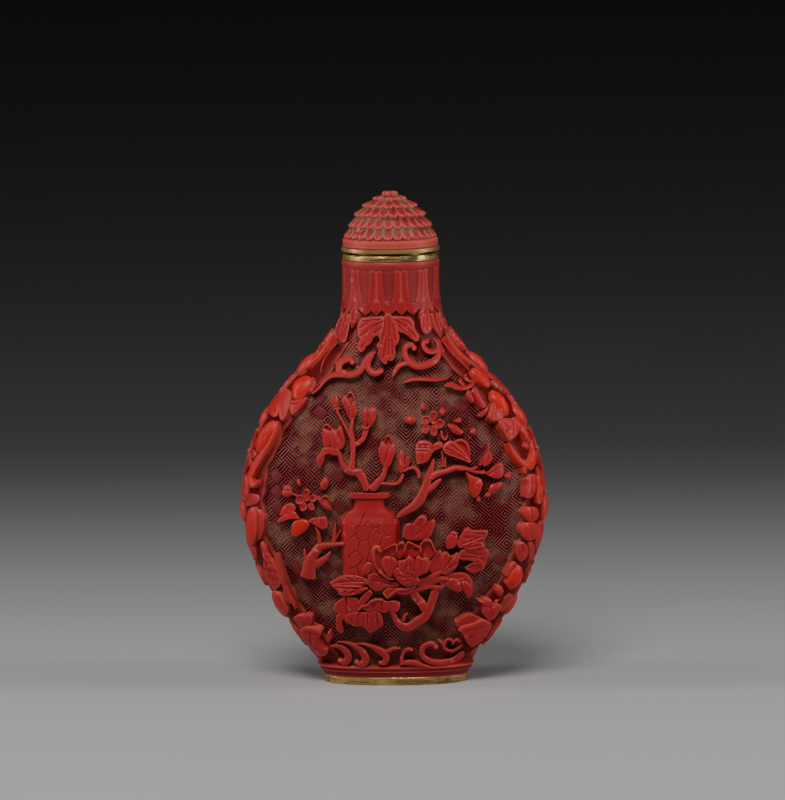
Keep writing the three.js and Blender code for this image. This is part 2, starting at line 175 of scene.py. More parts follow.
def view_directions():
    """The camera's right, its up and its line of sight."""
    ahead = np.array([-math.sin(VIEW_TURN) * math.cos(VIEW_RISE),
                      math.cos(VIEW_TURN) * math.cos(VIEW_RISE), -math.sin(VIEW_RISE)])
    right = np.cross(ahead, (0, 0, 1))
    right /= np.linalg.norm(right)
    up = np.cross(right, ahead)
    cos, sin = math.cos(VIEW_ROLL), math.sin(VIEW_ROLL)
    return right * cos + up * sin, up * cos - right * sin, ahead


def as_seen(places):
    """Where places on the bottle are seen on the sheet."""
    right, up, ahead = view_directions()
    sight = places - np.array([0, 0, VIEW_HEIGHT]) + VIEW_DISTANCE * ahead
    seen = np.stack([sight @ right, sight @ up], axis=-1)
    return SHEET_MIDDLE + SHEET_SIZE * seen / (sight @ ahead)[..., None]


def on_face(drawn):
    """Takes drawn places to (u, v) places on the face."""
    drawn = np.array(drawn, float)
    found = drawn.copy()
    for _ in range(PASSES):
        found += drawn - as_seen(front(found[:, 0], found[:, 1], FACE_RELIEF))
    return np.round(found, 1)


def on_side(drawn, relief):
    """Takes drawn places to (around, up) places on the side where they are seen. A place past the
    edge of the bottle goes to the edge."""
    drawn = np.array(drawn, float)
    turns = np.sign(drawn[0, 0]) * SIDE_TURNS
    turn, up = np.zeros(len(drawn)), drawn[:, 1].copy()
    for _ in range(PASSES):
        places = on_ground(turns[None, :], up[:, None])
        places = places + outward(places.reshape(-1, 3)).reshape(places.shape) * relief
        for k, (seen, place) in enumerate(zip(as_seen(places), drawn)):
            out = np.abs(seen[:, 0])
            in_sight = np.argmax(out) + 1
            turn[k] = np.interp(abs(place[0]), out[:in_sight], turns[:in_sight])
            up[k] += place[1] - np.interp(abs(place[0]), out[:in_sight], seen[:in_sight, 1])
    return np.round(np.stack([AROUND * turn, up], axis=1), 1)


def around(start):
    """A way to lay carving on a side: w round the bottle from a start, v up and h out."""
    def lay(w, v, h):
        places = on_ground(start + w / AROUND, v)
        return places + outward(places) * h[:, None]
    return lay


def raised(lay, lift):
    """The same way to lay carving, with its top further out."""
    return lambda u, v, h: lay(u, v, h + lift * (h > 0))


# ---- Lines that carving follows ----

def spline(places, steps=10):
    """A smooth line through the given (u, v) places."""
    p = np.asarray(places, float)
    p = np.vstack([2 * p[0] - p[1], p, 2 * p[-1] - p[-2]])
    t = np.arange(steps)[:, None] / steps
    runs = []
    for a, b, c, d in zip(p, p[1:], p[2:], p[3:]):
        runs.append(0.5 * (2 * b + (c - a) * t + (2 * a - 5 * b + 4 * c - d) * t ** 2
                           + (3 * b - a - 3 * c + d) * t ** 3))
    return np.vstack(runs + [p[-2:-1]])


def bowed(u0, v0, u1, v1, bend=0):
    t = np.linspace(0, 1, 24)[:, None]
    start, end = np.array([u0, v0]), np.array([u1, v1])
    middle = (start + end) / 2 + bend * np.array([v0 - v1, u1 - u0])
    return (1 - t) ** 2 * start + 2 * t * (1 - t) * middle + t * t * end


def coil(u, v, radius, start, sweep, wind=0.62):
    """A line that winds in towards (u, v), from a start angle through a sweep, in degrees."""
    t = np.linspace(0, 1, 40)
    r = radius * (1 - wind * t)
    angle = np.radians(start + sweep * t)
    return np.stack([u + r * np.cos(angle), v + r * np.sin(angle)], axis=1)


def follow(line, t):
    """Place and heading at each share of a line's length."""
    gaps = np.linalg.norm(np.diff(line, axis=0), axis=1)
    run = np.concatenate([[0], np.cumsum(gaps)])
    run /= run[-1]
    heading = np.gradient(line, run + np.arange(len(run)) * 1e-9, axis=0)
    heading /= np.linalg.norm(heading, axis=1, keepdims=True) + 1e-12
    place = [np.interp(t, run, line[:, k]) for k in (0, 1)]
    ahead = [np.interp(t, run, heading[:, k]) for k in (0, 1)]
    size = np.hypot(*ahead) + 1e-12
    return place[0], place[1], ahead[0] / size, ahead[1] / size


# ---- Blanks, and the meshes carved from copies of them ----

BLANKS = {}


def deselect():
    if bpy.context.object and bpy.context.object.mode != "OBJECT":
        bpy.ops.object.mode_set(mode="OBJECT")
    bpy.ops.object.select_all(action="DESELECT")


def only(obj):
    deselect()
    obj.select_set(True)
    bpy.context.view_layer.objects.active = obj
    return obj


def take(obj):
    """Keeps a blank's points and faces, and deletes its object."""
    mesh = obj.data
    places = np.empty(len(mesh.vertices) * 3)
    mesh.vertices.foreach_get("co", places)
    corners = np.empty(len(mesh.loops), int)
    mesh.loops.foreach_get("vertex_index", corners)
    counts = np.empty(len(mesh.polygons), int)
    mesh.polygons.foreach_get("loop_total", counts)
    bpy.data.objects.remove(obj)
    bpy.data.meshes.remove(mesh)
    return places.reshape(-1, 3), corners, counts


def closed_below(obj, depth):
    """Gives the open sheet in edit mode a skirt and an underside, and takes it as a blank."""
    bpy.ops.mesh.select_all(action="SELECT")
    bpy.ops.mesh.region_to_loop()
    bpy.ops.mesh.extrude_region_move(TRANSFORM_OT_translate={"value": (0, 0, -depth)})
    bpy.ops.mesh.edge_face_add()
    bpy.ops.mesh.select_all(action="SELECT")
    bpy.ops.mesh.normals_make_consistent(inside=False)
    bpy.ops.object.mode_set(mode="OBJECT")
    return take(obj)


def slab(columns, rows):
    """A closed slab 2 wide and 2 long with a gridded top at z 1 and its underside at z 0."""
    key = (columns, rows)
    if key not in BLANKS:
        deselect()
        bpy.ops.mesh.primitive_grid_add(x_subdivisions=columns, y_subdivisions=rows, size=2,
                                        location=(0, 0, 1))
        obj = bpy.context.object
        bpy.ops.object.transform_apply(location=True)
        bpy.ops.object.mode_set(mode="EDIT")
        BLANKS[key] = closed_below(obj, 1)
    return BLANKS[key]


def knob(segments=16, rings=10):
    """A closed half ball, radius 1, standing on a short skirt that ends at z -1."""
    key = ("knob", segments, rings)
    if key not in BLANKS:
        deselect()
        bpy.ops.mesh.primitive_uv_sphere_add(segments=segments, ring_count=rings, radius=1)
        obj = bpy.context.object
        bpy.ops.object.mode_set(mode="EDIT")
        bpy.ops.mesh.select_all(action="SELECT")
        bpy.ops.mesh.bisect(plane_co=(0, 0, 0), plane_no=(0, 0, 1), clear_inner=True)
        BLANKS[key] = closed_below(obj, 1)
    return BLANKS[key]


def disc(segments=64, rings=9):
    """A closed disc, radius 1, with rings of faces on its top at z 1 and its underside at z 0."""
    key = ("disc", segments, rings)
    if key not in BLANKS:
        deselect()
        bpy.ops.mesh.primitive_circle_add(vertices=segments, radius=1, fill_type="NGON",
                                          location=(0, 0, 1))
        obj = bpy.context.object
        bpy.ops.object.transform_apply(location=True)
        bpy.ops.object.mode_set(mode="EDIT")
        bpy.ops.mesh.select_all(action="SELECT")
        for _ in range(rings - 1):
            bpy.ops.mesh.inset(thickness=math.cos(PI / segments) / rings, depth=0)
        bpy.ops.mesh.poke()
        BLANKS[key] = closed_below(obj, 1)
    return BLANKS[key]


class Carving:
    """Gathers shaped copies of the blanks, then makes one piece of them."""

    def __init__(self):
        self.places, self.heights, self.tints = [], [], []
        self.corners, self.counts, self.total = [], [], 0

    def add(self, blank, places, heights, tint=0.0):
        self.places.append(places)
        self.heights.append(np.broadcast_to(heights, len(places)).astype(float))
        self.tints.append(np.full(len(places), float(tint)))
        self.corners.append(blank[1] + self.total)
        self.counts.append(blank[2])
        self.total += len(places)

    def finish(self, name, finish_of, angle=38, node="bottle"):
        """Makes one mesh of all that was added, and dresses it in place of the given solid."""
        counts, corners = np.concatenate(self.counts), np.concatenate(self.corners)
        mesh = bpy.data.meshes.new(name)
        mesh.vertices.add(self.total)
        mesh.vertices.foreach_set("co", (np.vstack(self.places) * MM).astype(np.float32).ravel())
        mesh.loops.add(len(corners))
        mesh.loops.foreach_set("vertex_index", corners.astype(np.int32))
        mesh.polygons.add(len(counts))
        starts = np.concatenate([[0], np.cumsum(counts)[:-1]])
        mesh.polygons.foreach_set("loop_start", starts.astype(np.int32))
        mesh.polygons.foreach_set("loop_total", counts.astype(np.int32))
        mesh.update(calc_edges=True)
        mesh.validate()
        # height steers the painted shade (lower places darker) and the dust lying low; tint steers the
        # painted orange-red highlight on the lacquer and marks the smooth squares of the ground
        for key, values in (("height", self.heights), ("tint", self.tints)):
            layer = mesh.attributes.new(key, "FLOAT", "POINT")
            layer.data.foreach_set("value", np.concatenate(values).astype(np.float32))
        obj = bpy.data.objects.new(name, mesh)
        bpy.context.scene.collection.objects.link(obj)
        dress(obj, finish_of, angle, node)


def dress(obj, finish_of, angle, node):
    """Smooths a finished piece, gives it its material, and rides it on the one body."""
    only(obj)
    bpy.ops.object.shade_smooth_by_angle(angle=math.radians(angle))
    obj.data.materials.clear()
    obj.data.materials.append(MATERIALS[finish_of]())
    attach(obj, "root")
    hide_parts(node)


# ---- Carved forms ----

def ribbon(carving, lay, blank, line, half, rise, tint=0.0, slant=0.0):
    """Wraps a slab along a line: half(t) is its half-width and rise(t, s) its height, with s from
    -1 to 1 across and t from 0 to 1 along. A slant carries the edges ahead of the middle."""
    x, y, z = blank[0].T
    s, t = np.sign(x) * np.abs(x) ** 0.85, (y + 1) / 2
    t = t + slant * np.abs(s) * np.sin(PI * t)
    u, v, du, dv = follow(line, np.clip(t, 0, 1))
    reach = s * half(np.clip(t, 0, 1))
    height = np.where(z > 0.5, rise(np.clip(t, 0, 1), s), -SINK)
    carving.add(blank, lay(u + dv * reach, v - du * reach, height), height, tint)


def edge(s, depth=0.16, start=0.72):
    """The small roll-off along a carved edge."""
    return depth * smooth(start, 1, np.abs(s))


def stem(carving, lay, places, wide, narrow, height=1.25):
    """A tapering stem with slight knots."""
    line = spline(places)
    phase = places[0][0] * 3 + places[0][1]

    def half(t):
        wander = 1 + 0.1 * np.sin(9 * t + phase) + 0.06 * np.sin(21 * t + 2 * phase)
        return (wide + (narrow - wide) * t) / 2 * wander

    def rise(t, s):
        return height - 0.25 * s ** 2 - 0.05 * np.sin(25 * t + phase) - edge(s, 0.1)
    ribbon(carving, lay, slab(6, 8 * len(places)), line, half, rise)


def leaf(carving, lay, u0, v0, u1, v1, width, bend=0.0, height=1.35, veins=5, tint=0.0, lobes=0.0):
    """A leaf with an engraved midrib and slanting veins, pointed at both ends."""
    line, fold = bowed(u0, v0, u1, v1, bend), 0.22

    def half(t):
        wave = 1 + lobes * np.cos(2 * PI * veins * t)
        return width / 2 * np.sin(PI * t ** 0.8) ** 0.85 * wave + 0.02

    def rise(t, s):
        vein = np.exp(-((t * veins % 1 - 0.5) / 0.13) ** 2) * smooth(0.08, 0.4, np.abs(s))
        rib = np.exp(-(s / 0.16) ** 2)
        crown = fold * np.sin(PI * np.minimum(np.abs(s), 1)) - 0.25 * np.abs(2 * t - 1) ** 3
        return height - fold + crown - 0.11 * vein - 0.2 * rib - edge(s, 0.2)
    ribbon(carving, lay, slab(10, 4 * veins), line, half, rise, tint, slant=0.14)


def petal(carving, lay, u0, v0, u1, v1, width, height=1.35, cup=0.4, waves=0.0, furrows=0.0,
          tint=0.0, tilt=0.0, blunt=0.32, rows=14, columns=12):
    """A petal that is hollowed between its raised rims, with a blunt and notched tip."""
    line = bowed(u0, v0, u1, v1)

    def half(t):
        shape = t ** 0.55 * (1 - t) ** blunt
        return width / 2 * shape / (0.63 ** 0.55 * 0.37 ** blunt) + 0.02

    def rise(t, s):
        rim = np.maximum(np.abs(s) ** 2.5, smooth(0.55, 1, t))
        furrow = furrows * np.cos(14 * s) * smooth(0.1, 0.5, t)
        return height - cup * (1 - rim) + tilt * t - furrow - edge(s, 0.1, 0.9)

    x, y, z = slab(columns, rows)[0].T
    s, t = np.sign(x) * np.abs(x) ** 0.85, 1 - (1 - (y + 1) / 2) ** 1.4
    u, v, du, dv = follow(line, t)
    reach = s * half(t)
    length = math.hypot(u1 - u0, v1 - v0)
    notch = 0.1 * (1 - np.abs(s)) ** 0.5 - 0.05
    push = length * t ** 2 * (waves * np.cos(3 * PI * s) + notch)
    top = np.where(z > 0.5, rise(t, s), -SINK)
    u, v = u + dv * reach + du * push, v - du * reach + dv * push
    carving.add(slab(columns, rows), lay(u, v, top), top, tint)


def boss(carving, lay, u, v, width, length, lean=0.0, height=1.35, tint=0.0, cleft=0.0,
         segments=16, rings=10):
    """A rounded bud, fruit or bead, its long axis leaning from upright, in degrees."""
    blank = knob(segments, rings)
    x, y, z = blank[0].T
    turn = math.radians(lean)
    across, up = x * width / 2, y * length / 2
    dome = np.maximum(z, 0) ** 0.8
    groove = cleft * np.exp(-(x / 0.16) ** 2) * dome
    high = np.where(z < -0.5, -SINK, height * (0.25 + 0.75 * dome) - groove)
    carving.add(blank, lay(u + across * math.cos(turn) - up * math.sin(turn),
                           v + across * math.sin(turn) + up * math.cos(turn), high), high, tint)


def scroll(carving, lay, line, wide, narrow, height=1.3, tint=0.0, rows=36, bead=0.0):
    """A curled scroll with a rounded top, tapering towards its end and closed by a bead."""
    def half(t):
        return (wide + (narrow - wide) * t) / 2 * (0.35 + 0.65 * smooth(0, 0.22, t))

    def rise(t, s):
        return height - 0.3 * s ** 2 - edge(s, 0.12)
    ribbon(carving, lay, slab(6, rows), line, half, rise, tint)
    if bead:
        boss(carving, lay, *line[-1], bead, bead, height=height + 0.05, tint=tint,
             segments=12, rings=8)


def blossom(carving, lay, u, v, radius, start, height):
    """An open flower: five cupped round petals about a small bead."""
    for k in range(5):
        angle = math.radians(start + 72 * k)
        du, dv = math.cos(angle), math.sin(angle)
        petal(carving, lay, u + 0.12 * radius * du, v + 0.12 * radius * dv, u + radius * du,
              v + radius * dv, 0.88 * radius, height=height, cup=0.3, waves=-0.02, tilt=0.12,
              rows=8, columns=8)
    bead = 0.416 * radius
    boss(carving, lay, u, v, bead, bead, height=height + 0.05, segments=10, rings=6)


def near(u, v, lines):
    """How far each place lies from the nearest of the given lines."""
    away = np.full(len(u), 9.0)
    for line in lines:
        for (u0, v0), (u1, v1) in zip(line, line[1:]):
            du, dv = u1 - u0, v1 - v0
            t = np.clip(((u - u0) * du + (v - v0) * dv) / (du * du + dv * dv), 0, 1)
            away = np.minimum(away, np.hypot(u - u0 - t * du, v - v0 - t * dv))
    return away


def plate(carving, lay, outline, height=1.4, cup=0.0, bulge=0.0, tint=0.0, cuts=(), depth=0.2,
          segments=72, rings=9, root=None):
    """A petal or leaf with the given outline, all of it in sight from its middle. A cup hollows
    it below a rim that stands away from its root, a bulge rounds it, and cuts are engraved."""
    blank = disc(segments, rings)
    x, y, z = blank[0].T
    r = np.minimum(np.hypot(x, y), 1) ** 0.75
    corners = np.array(outline)
    middle = (corners.min(axis=0) + corners.max(axis=0)) / 2
    ring = spline(np.vstack([corners, corners[:2]]), 6)[:-6]
    if np.sum(ring[:-1, 0] * ring[1:, 1] - ring[1:, 0] * ring[:-1, 1]) < 0:
        ring = ring[::-1]
    u, v, _, _ = follow(ring, (np.degrees(np.arctan2(y, x)) / 360) % 1)
    u, v = middle[0] + (u - middle[0]) * r, middle[1] + (v - middle[1]) * r
    size = (corners.max(axis=0) - corners.min(axis=0)) / 2
    aim = middle - (root if root else (middle[0], middle[1] - 1))
    aim = aim / np.hypot(*aim)
    far = ((u - middle[0]) * aim[0] + (v - middle[1]) * aim[1]) / np.hypot(*(size * aim))
    high = height - cup * (1 - smooth(0.45, 0.97, r) * smooth(-0.9, 0.1, far)) - bulge * r ** 2
    high = high - (0.06 if cup else 0.13) * smooth(0.86, 1, r)
    cut = depth * np.exp(-(near(u, v, [spline(line, 4) for line in cuts]) / 0.12) ** 2)
    high = np.where(z > 0.5, high - cut, -SINK)
    # painted shade: engraved cuts are set twice as deep again for the colour, so they take the dark red
    carving.add(blank, lay(u, v, high), high - np.where(z > 0.5, 2 * cut, 0), tint)


def limb(carving, lay, places, widths, height=1.3, tint=0.0, ball=0.0, crown=0.2, blunt=0.06):
    """A stem or scroll through the given places, with its widths along it and a ball at its end."""
    line, marks = spline(places), np.linspace(0, 1, len(widths))

    def half(t):
        ends = np.sqrt(np.clip(np.minimum(t, 1 - t) / blunt, 0, 1))
        return np.interp(t, marks, widths) * 0.55 * (0.15 + 0.85 * ends)

    def rise(t, s):
        return height - crown * s ** 2 - edge(s, 0.12)
    ribbon(carving, lay, slab(6, 7 * len(places)), line, half, rise, tint)
    if ball:
        boss(carving, lay, *line[-1], ball, ball, height=height + 0.08, tint=tint, segments=14,
             rings=8)


class Drawn:
    """Carves forms on one face from places drawn as they are seen."""

    def __init__(self, carving, lay):
        self.carving, self.lay = carving, lay

    def plate(self, outline, cuts=(), **shape):
        plate(self.carving, self.lay, on_face(outline), cuts=[on_face(cut) for cut in cuts], **shape)

    def limb(self, places, widths, **shape):
        limb(self.carving, self.lay, on_face(places), widths, **shape)


# ---- Finishes ----

MATERIALS = {}


def colours():
    return bpy.context.scene.snuff_colours


def sizes():
    return bpy.context.scene.snuff_sizes


def mix(tree, factor, first, second):
    """A colour mix; each value is a socket or a constant."""
    node = tree.nodes.new("ShaderNodeMix")
    node.data_type, node.clamp_factor = "RGBA", True
    for index, value in ((0, factor), (6, first), (7, second)):
        put(tree, node.inputs[index], value)
    return node.outputs[2]


def put(tree, socket, value):
    if isinstance(value, bpy.types.NodeSocket):
        tree.links.new(value, socket)
    elif hasattr(value, "__len__"):
        socket.default_value = (*value[:3], 1) if len(socket.default_value) == 4 else value[:3]
    else:
        socket.default_value = value


def sums(tree, operation, *values, clamp=False):
    node = tree.nodes.new("ShaderNodeMath")
    node.operation, node.use_clamp = operation, clamp
    for socket, value in zip(node.inputs, values):
        put(tree, socket, value)
    return node.outputs[0]


def spread(tree, value, low, high, to_low=0.0, to_high=1.0):
    node = tree.nodes.new("ShaderNodeMapRange")
    node.interpolation_type = "SMOOTHSTEP"
    for socket, number in zip(node.inputs, (value, low, high, to_low, to_high)):
        put(tree, socket, number)
    return node.outputs[0]


def noise(tree, scale, detail=4.0, rough=0.55, stretch=None):
    """Noise on Object coordinates."""
    where = tree.nodes.new("ShaderNodeTexCoord").outputs["Object"]
    if stretch:
        mapping = tree.nodes.new("ShaderNodeMapping")
        mapping.inputs["Scale"].default_value = stretch
        tree.links.new(where, mapping.inputs["Vector"])
        where = mapping.outputs[0]
    node = tree.nodes.new("ShaderNodeTexNoise")
    tree.links.new(where, node.inputs["Vector"])
    node.inputs["Scale"].default_value = scale
    node.inputs["Detail"].default_value = detail
    node.inputs["Roughness"].default_value = rough
    return node.outputs["Fac"]


def layer(tree, name):
    node = tree.nodes.new("ShaderNodeAttribute")
    node.attribute_name = name
    return node.outputs["Fac"]


def effect(name, inputs, outputs, fill):
    """A node group with named sockets, built once and shared by the finishes."""
    if name in bpy.data.node_groups:
        return bpy.data.node_groups[name]
    group = bpy.data.node_groups.new(name, "ShaderNodeTree")
    for label, kind, default in inputs:
        socket = group.interface.new_socket(label, in_out="INPUT", socket_type=kind)
        socket.default_value = default
    for label, kind in outputs:
        group.interface.new_socket(label, in_out="OUTPUT", socket_type=kind)
    entry, way_out = group.nodes.new("NodeGroupInput"), group.nodes.new("NodeGroupOutput")
    for label, value in fill(group, entry.outputs).items():
        group.links.new(value, way_out.inputs[label])
    return group


def place(tree, group, **values):
    node = tree.nodes.new("ShaderNodeGroup")
    node.node_tree = group
    for label, value in values.items():
        put(tree, node.inputs[label.replace("_", " ")], value)
    return node.outputs


FLOAT = "NodeSocketFloat"


def grime():
    """Where dust has settled: low places, in patches, and inside corners."""
    def fill(tree, given):
        corner = tree.nodes.new("ShaderNodeAmbientOcclusion")
        corner.samples, corner.only_local = 6, False
        corner.inputs["Distance"].default_value = 0.0012
        hidden = spread(tree, corner.outputs["AO"], 0.75, 0.25)
        patches = spread(tree, noise(tree, 260, 3), 0.42, 0.66)
        specks = spread(tree, noise(tree, 1500, 2), 0.5, 0.72)
        settled = sums(tree, "MULTIPLY", patches, given["Amount"])
        settled = sums(tree, "MULTIPLY", settled, sums(tree, "ADD", hidden, given["Everywhere"]),
                       clamp=True)
        loose = sums(tree, "MULTIPLY", specks, sums(tree, "MULTIPLY", settled, 0.5))
        return {"Dust": sums(tree, "ADD", settled, loose, clamp=True)}
    return effect("Settled dust", [("Amount", FLOAT, 0.5), ("Everywhere", FLOAT, 0.0)],
                  [("Dust", FLOAT)], fill)


def edge_wear_and_highlight():
    """The standing edges: brightened by handling, and on the lacquer also lightened as a painted highlight.
    """
    def fill(tree, given):
        geometry = tree.nodes.new("ShaderNodeNewGeometry")
        sharp = spread(tree, geometry.outputs["Pointiness"], 0.5, 0.62)
        broken = sums(tree, "ADD", 0.45, sums(tree, "MULTIPLY", noise(tree, 420, 3), 0.9))
        return {"Edge": sums(tree, "MULTIPLY", sums(tree, "MULTIPLY", sharp, broken),
                             given["Amount"], clamp=True)}
    return effect("Edges lightened by wear and painted highlight", [("Amount", FLOAT, 1.0)], [("Edge", FLOAT)], fill)


def tooling():
    """Fine knife marks and pores for the bump, and a slow mottling for the colour."""
    def fill(tree, given):
        slow = noise(tree, 90, 3)
        fine = noise(tree, 2600, 3)
        marks = noise(tree, 500, 2, stretch=(1, 1, 3.2))
        height = sums(tree, "ADD", sums(tree, "MULTIPLY", fine, 0.35), marks)
        return {"Mottle": slow, "Marks": height}
    return effect("Knife marks", [], [("Mottle", FLOAT), ("Marks", FLOAT)], fill)


def start_finish(name):
    material = bpy.data.materials.new(name)
    material.use_nodes = True
    tree = material.node_tree
    return material, tree, tree.nodes["Principled BSDF"]


def relief(tree, shader, height, distance, strength):
    bump = tree.nodes.new("ShaderNodeBump")
    bump.inputs["Distance"].default_value = distance
    bump.inputs["Strength"].default_value = strength
    tree.links.new(height, bump.inputs["Height"])
    tree.links.new(bump.outputs[0], shader.inputs["Normal"])


def finish(name):
    """Registers a finish that is built the first time it is asked for."""
    def wrap(build):
        made = []

        def once():
            if not made:
                made.append(build())
            return made[0]
        MATERIALS[name] = once
        return once
    return wrap


def lacquer_tree(name, low, high, dust=0.5, lain=0.0, edge_amount=1.0, gloss=0.38,
                 shine=0.26):
    material, tree, shader = start_finish(name)
    c = colours()
    tone = place(tree, tooling())
    up = spread(tree, layer(tree, "height"), low, high)
    body = mix(tree, spread(tree, tone["Mottle"], 0.3, 0.7), c.cinnabar, c.cinnabar_light)
    # painted shade: the lower a place lies on the carving, the more it takes the dark red
    base = mix(tree, up, c.painted_shade_red, body)
    # painted highlight: forms given a tint take a brighter orange red, as if lit from the side
    base = mix(tree, layer(tree, "tint"), base, c.painted_highlight_red)
    # real wear and painted highlight: sharp standing edges are lightened towards a pale red
    edge_mask = place(tree, edge_wear_and_highlight(), Amount=edge_amount)["Edge"]
    base = mix(tree, sums(tree, "MULTIPLY", edge_mask, 0.75), base, c.edge_wear_and_highlight_red)
    deep = sums(tree, "SUBTRACT", 1, up)
    lying = sums(tree, "MULTIPLY", deep, lain)
    settled = place(tree, grime(), Amount=dust, Everywhere=lying)["Dust"]
    base = mix(tree, sums(tree, "MULTIPLY", settled, 0.8), base, c.dust)
    tree.links.new(base, shader.inputs["Base Color"])
    rough = sums(tree, "ADD", gloss, sums(tree, "MULTIPLY", settled, 0.4))
    rough = sums(tree, "ADD", rough, sums(tree, "MULTIPLY", tone["Mottle"], 0.12))
    rough = sums(tree, "ADD", rough, sums(tree, "MULTIPLY", deep, 0.2))
    tree.links.new(rough, shader.inputs["Roughness"])
    shader.inputs["Specular IOR Level"].default_value = shine
    shader.inputs["Coat Weight"].default_value = 0.05
    shader.inputs["Coat Roughness"].default_value = 0.22
    relief(tree, shader, tone["Marks"], 0.00006, 0.6)
    return material


@finish("lacquer")
def carved_lacquer():
    return lacquer_tree("Carved cinnabar lacquer", -0.35, 0.95)


@finish("band")
def band_lacquer():
    return lacquer_tree("Deep lacquer of the sides", -0.35, 0.95, dust=0.35, gloss=0.5, shine=0.07)


@finish("ground")
def ground_lacquer():
    """Diaper ground: ridges lighter in scuffed and dusty patches, grooves darkened as painted shade, and dust
    lying in patches.
    """
    material, tree, shader = start_finish("Diaper ground lacquer")
    c = colours()
    tone = place(tree, tooling())
    up = spread(tree, layer(tree, "height"), -0.16, -0.02)
    ridge = mix(tree, spread(tree, noise(tree, 170, 3), 0.38, 0.62), c.ground_ridge, c.ground_worn)
    ridge = mix(tree, layer(tree, "tint"), ridge, c.ground_plain)
    # painted shade: the lower a place on the ground, the nearer its colour to the near-black red of the
    # grooves
    base = mix(tree, up, c.groove_painted_shade, ridge)
    settled = place(tree, grime(), Amount=1.2, Everywhere=0.14)["Dust"]
    settled = sums(tree, "MULTIPLY", settled, spread(tree, up, 0, 1, 0.9, 0.1))
    base = mix(tree, settled, base, c.dust)
    tree.links.new(base, shader.inputs["Base Color"])
    tree.links.new(sums(tree, "ADD", 0.5, sums(tree, "MULTIPLY", settled, 0.35)),
                   shader.inputs["Roughness"])
    shader.inputs["Specular IOR Level"].default_value = 0.25
    relief(tree, shader, tone["Marks"], 0.00005, 0.6)
    return material


@finish("glaze")
def vase_lacquer():
    return lacquer_tree("Vase lacquer", -0.2, 0.8, dust=0.35, edge_amount=0.8, gloss=0.42)


@finish("scales")
def scale_lacquer():
    # the sharp scale edges take a strong lightening, partly real wear and partly painted highlight; the dust
    # lying low is real
    return lacquer_tree("Stopper lacquer with wear and painted highlight", -0.35, 0.35, dust=0.9, lain=0.45, edge_amount=2.6,
                        gloss=0.42)


def brass_tree(name, tarnish):
    material, tree, shader = start_finish(name)
    c = colours()
    patches = spread(tree, noise(tree, 330, 5, 0.65), 0.38, 0.66)
    streaks = spread(tree, noise(tree, 160, 4, 0.6, stretch=(1, 1, 9)), 0.4, 0.65)
    edge_mask = place(tree, edge_wear_and_highlight(), Amount=1.0)["Edge"]
    dull = sums(tree, "MULTIPLY", sums(tree, "MAXIMUM", patches, streaks), tarnish)
    dull = sums(tree, "SUBTRACT", dull, sums(tree, "MULTIPLY", edge_mask, 0.6), clamp=True)
    base = mix(tree, dull, c.brass, c.tarnish)
    settled = place(tree, grime(), Amount=0.8)["Dust"]
    base = mix(tree, sums(tree, "MULTIPLY", settled, 0.6), base, c.dust)
    tree.links.new(base, shader.inputs["Base Color"])
    tree.links.new(spread(tree, dull, 0, 1, 1.0, 0.45), shader.inputs["Metallic"])
    tree.links.new(spread(tree, dull, 0, 1, 0.36, 0.66), shader.inputs["Roughness"])
    relief(tree, shader, sums(tree, "ADD", patches, noise(tree, 1800, 2)), 0.00004, 0.7)
    return material


@finish("brass")
def rubbed_brass():
    return brass_tree("Rubbed brass", 0.75)


@finish("dull brass")
def dull_brass():
    return brass_tree("Dull brass", 1.35)


@finish("dark brass")
def dark_brass():
    return brass_tree("Tarnished brass", 1.0)


# ---- What a user may change ----

def length_setting(name, description, default):
    return bpy.props.FloatProperty(name=name, description=description, default=default * MM,
                                   min=0, unit="LENGTH", subtype="DISTANCE", precision=5)


def colour_setting(name, description, srgb):
    linear = [(x / 255 / 12.92) if x < 11 else ((x / 255 + 0.055) / 1.055) ** 2.4 for x in srgb]
    return bpy.props.FloatVectorProperty(name=name, description=description, default=linear,
                                         size=3, min=0, max=1, subtype="COLOR")


class SnuffSizes(bpy.types.PropertyGroup):
    """Sizes of the carving."""
    cell: length_setting("Diaper cell", "Side of one square of the diaper ground", 3.55)
    pitch: length_setting("Diaper pitch", "Distance between two ridges of the ground", 0.42)
    groove: length_setting("Groove depth", "Depth of the ground's grooves", 0.22)
    lattice_turn: bpy.props.FloatProperty(
        name="Lattice turn", description="Turn of the diaper squares", default=math.radians(47),
        subtype="ANGLE", unit="ROTATION")
    border: length_setting("Border height", "Height of the band under the edge carving", 0.55)
    wall: length_setting("Wall", "Thickness of the lacquer wall", 2.7)
    lappets: bpy.props.IntProperty(name="Lappets", description="Pointed lappets round the neck",
                                   default=12, min=6, max=24)
    seed: bpy.props.IntProperty(name="Seed", description="Seed for the choice of diaper cells",
                                default=7, min=0)


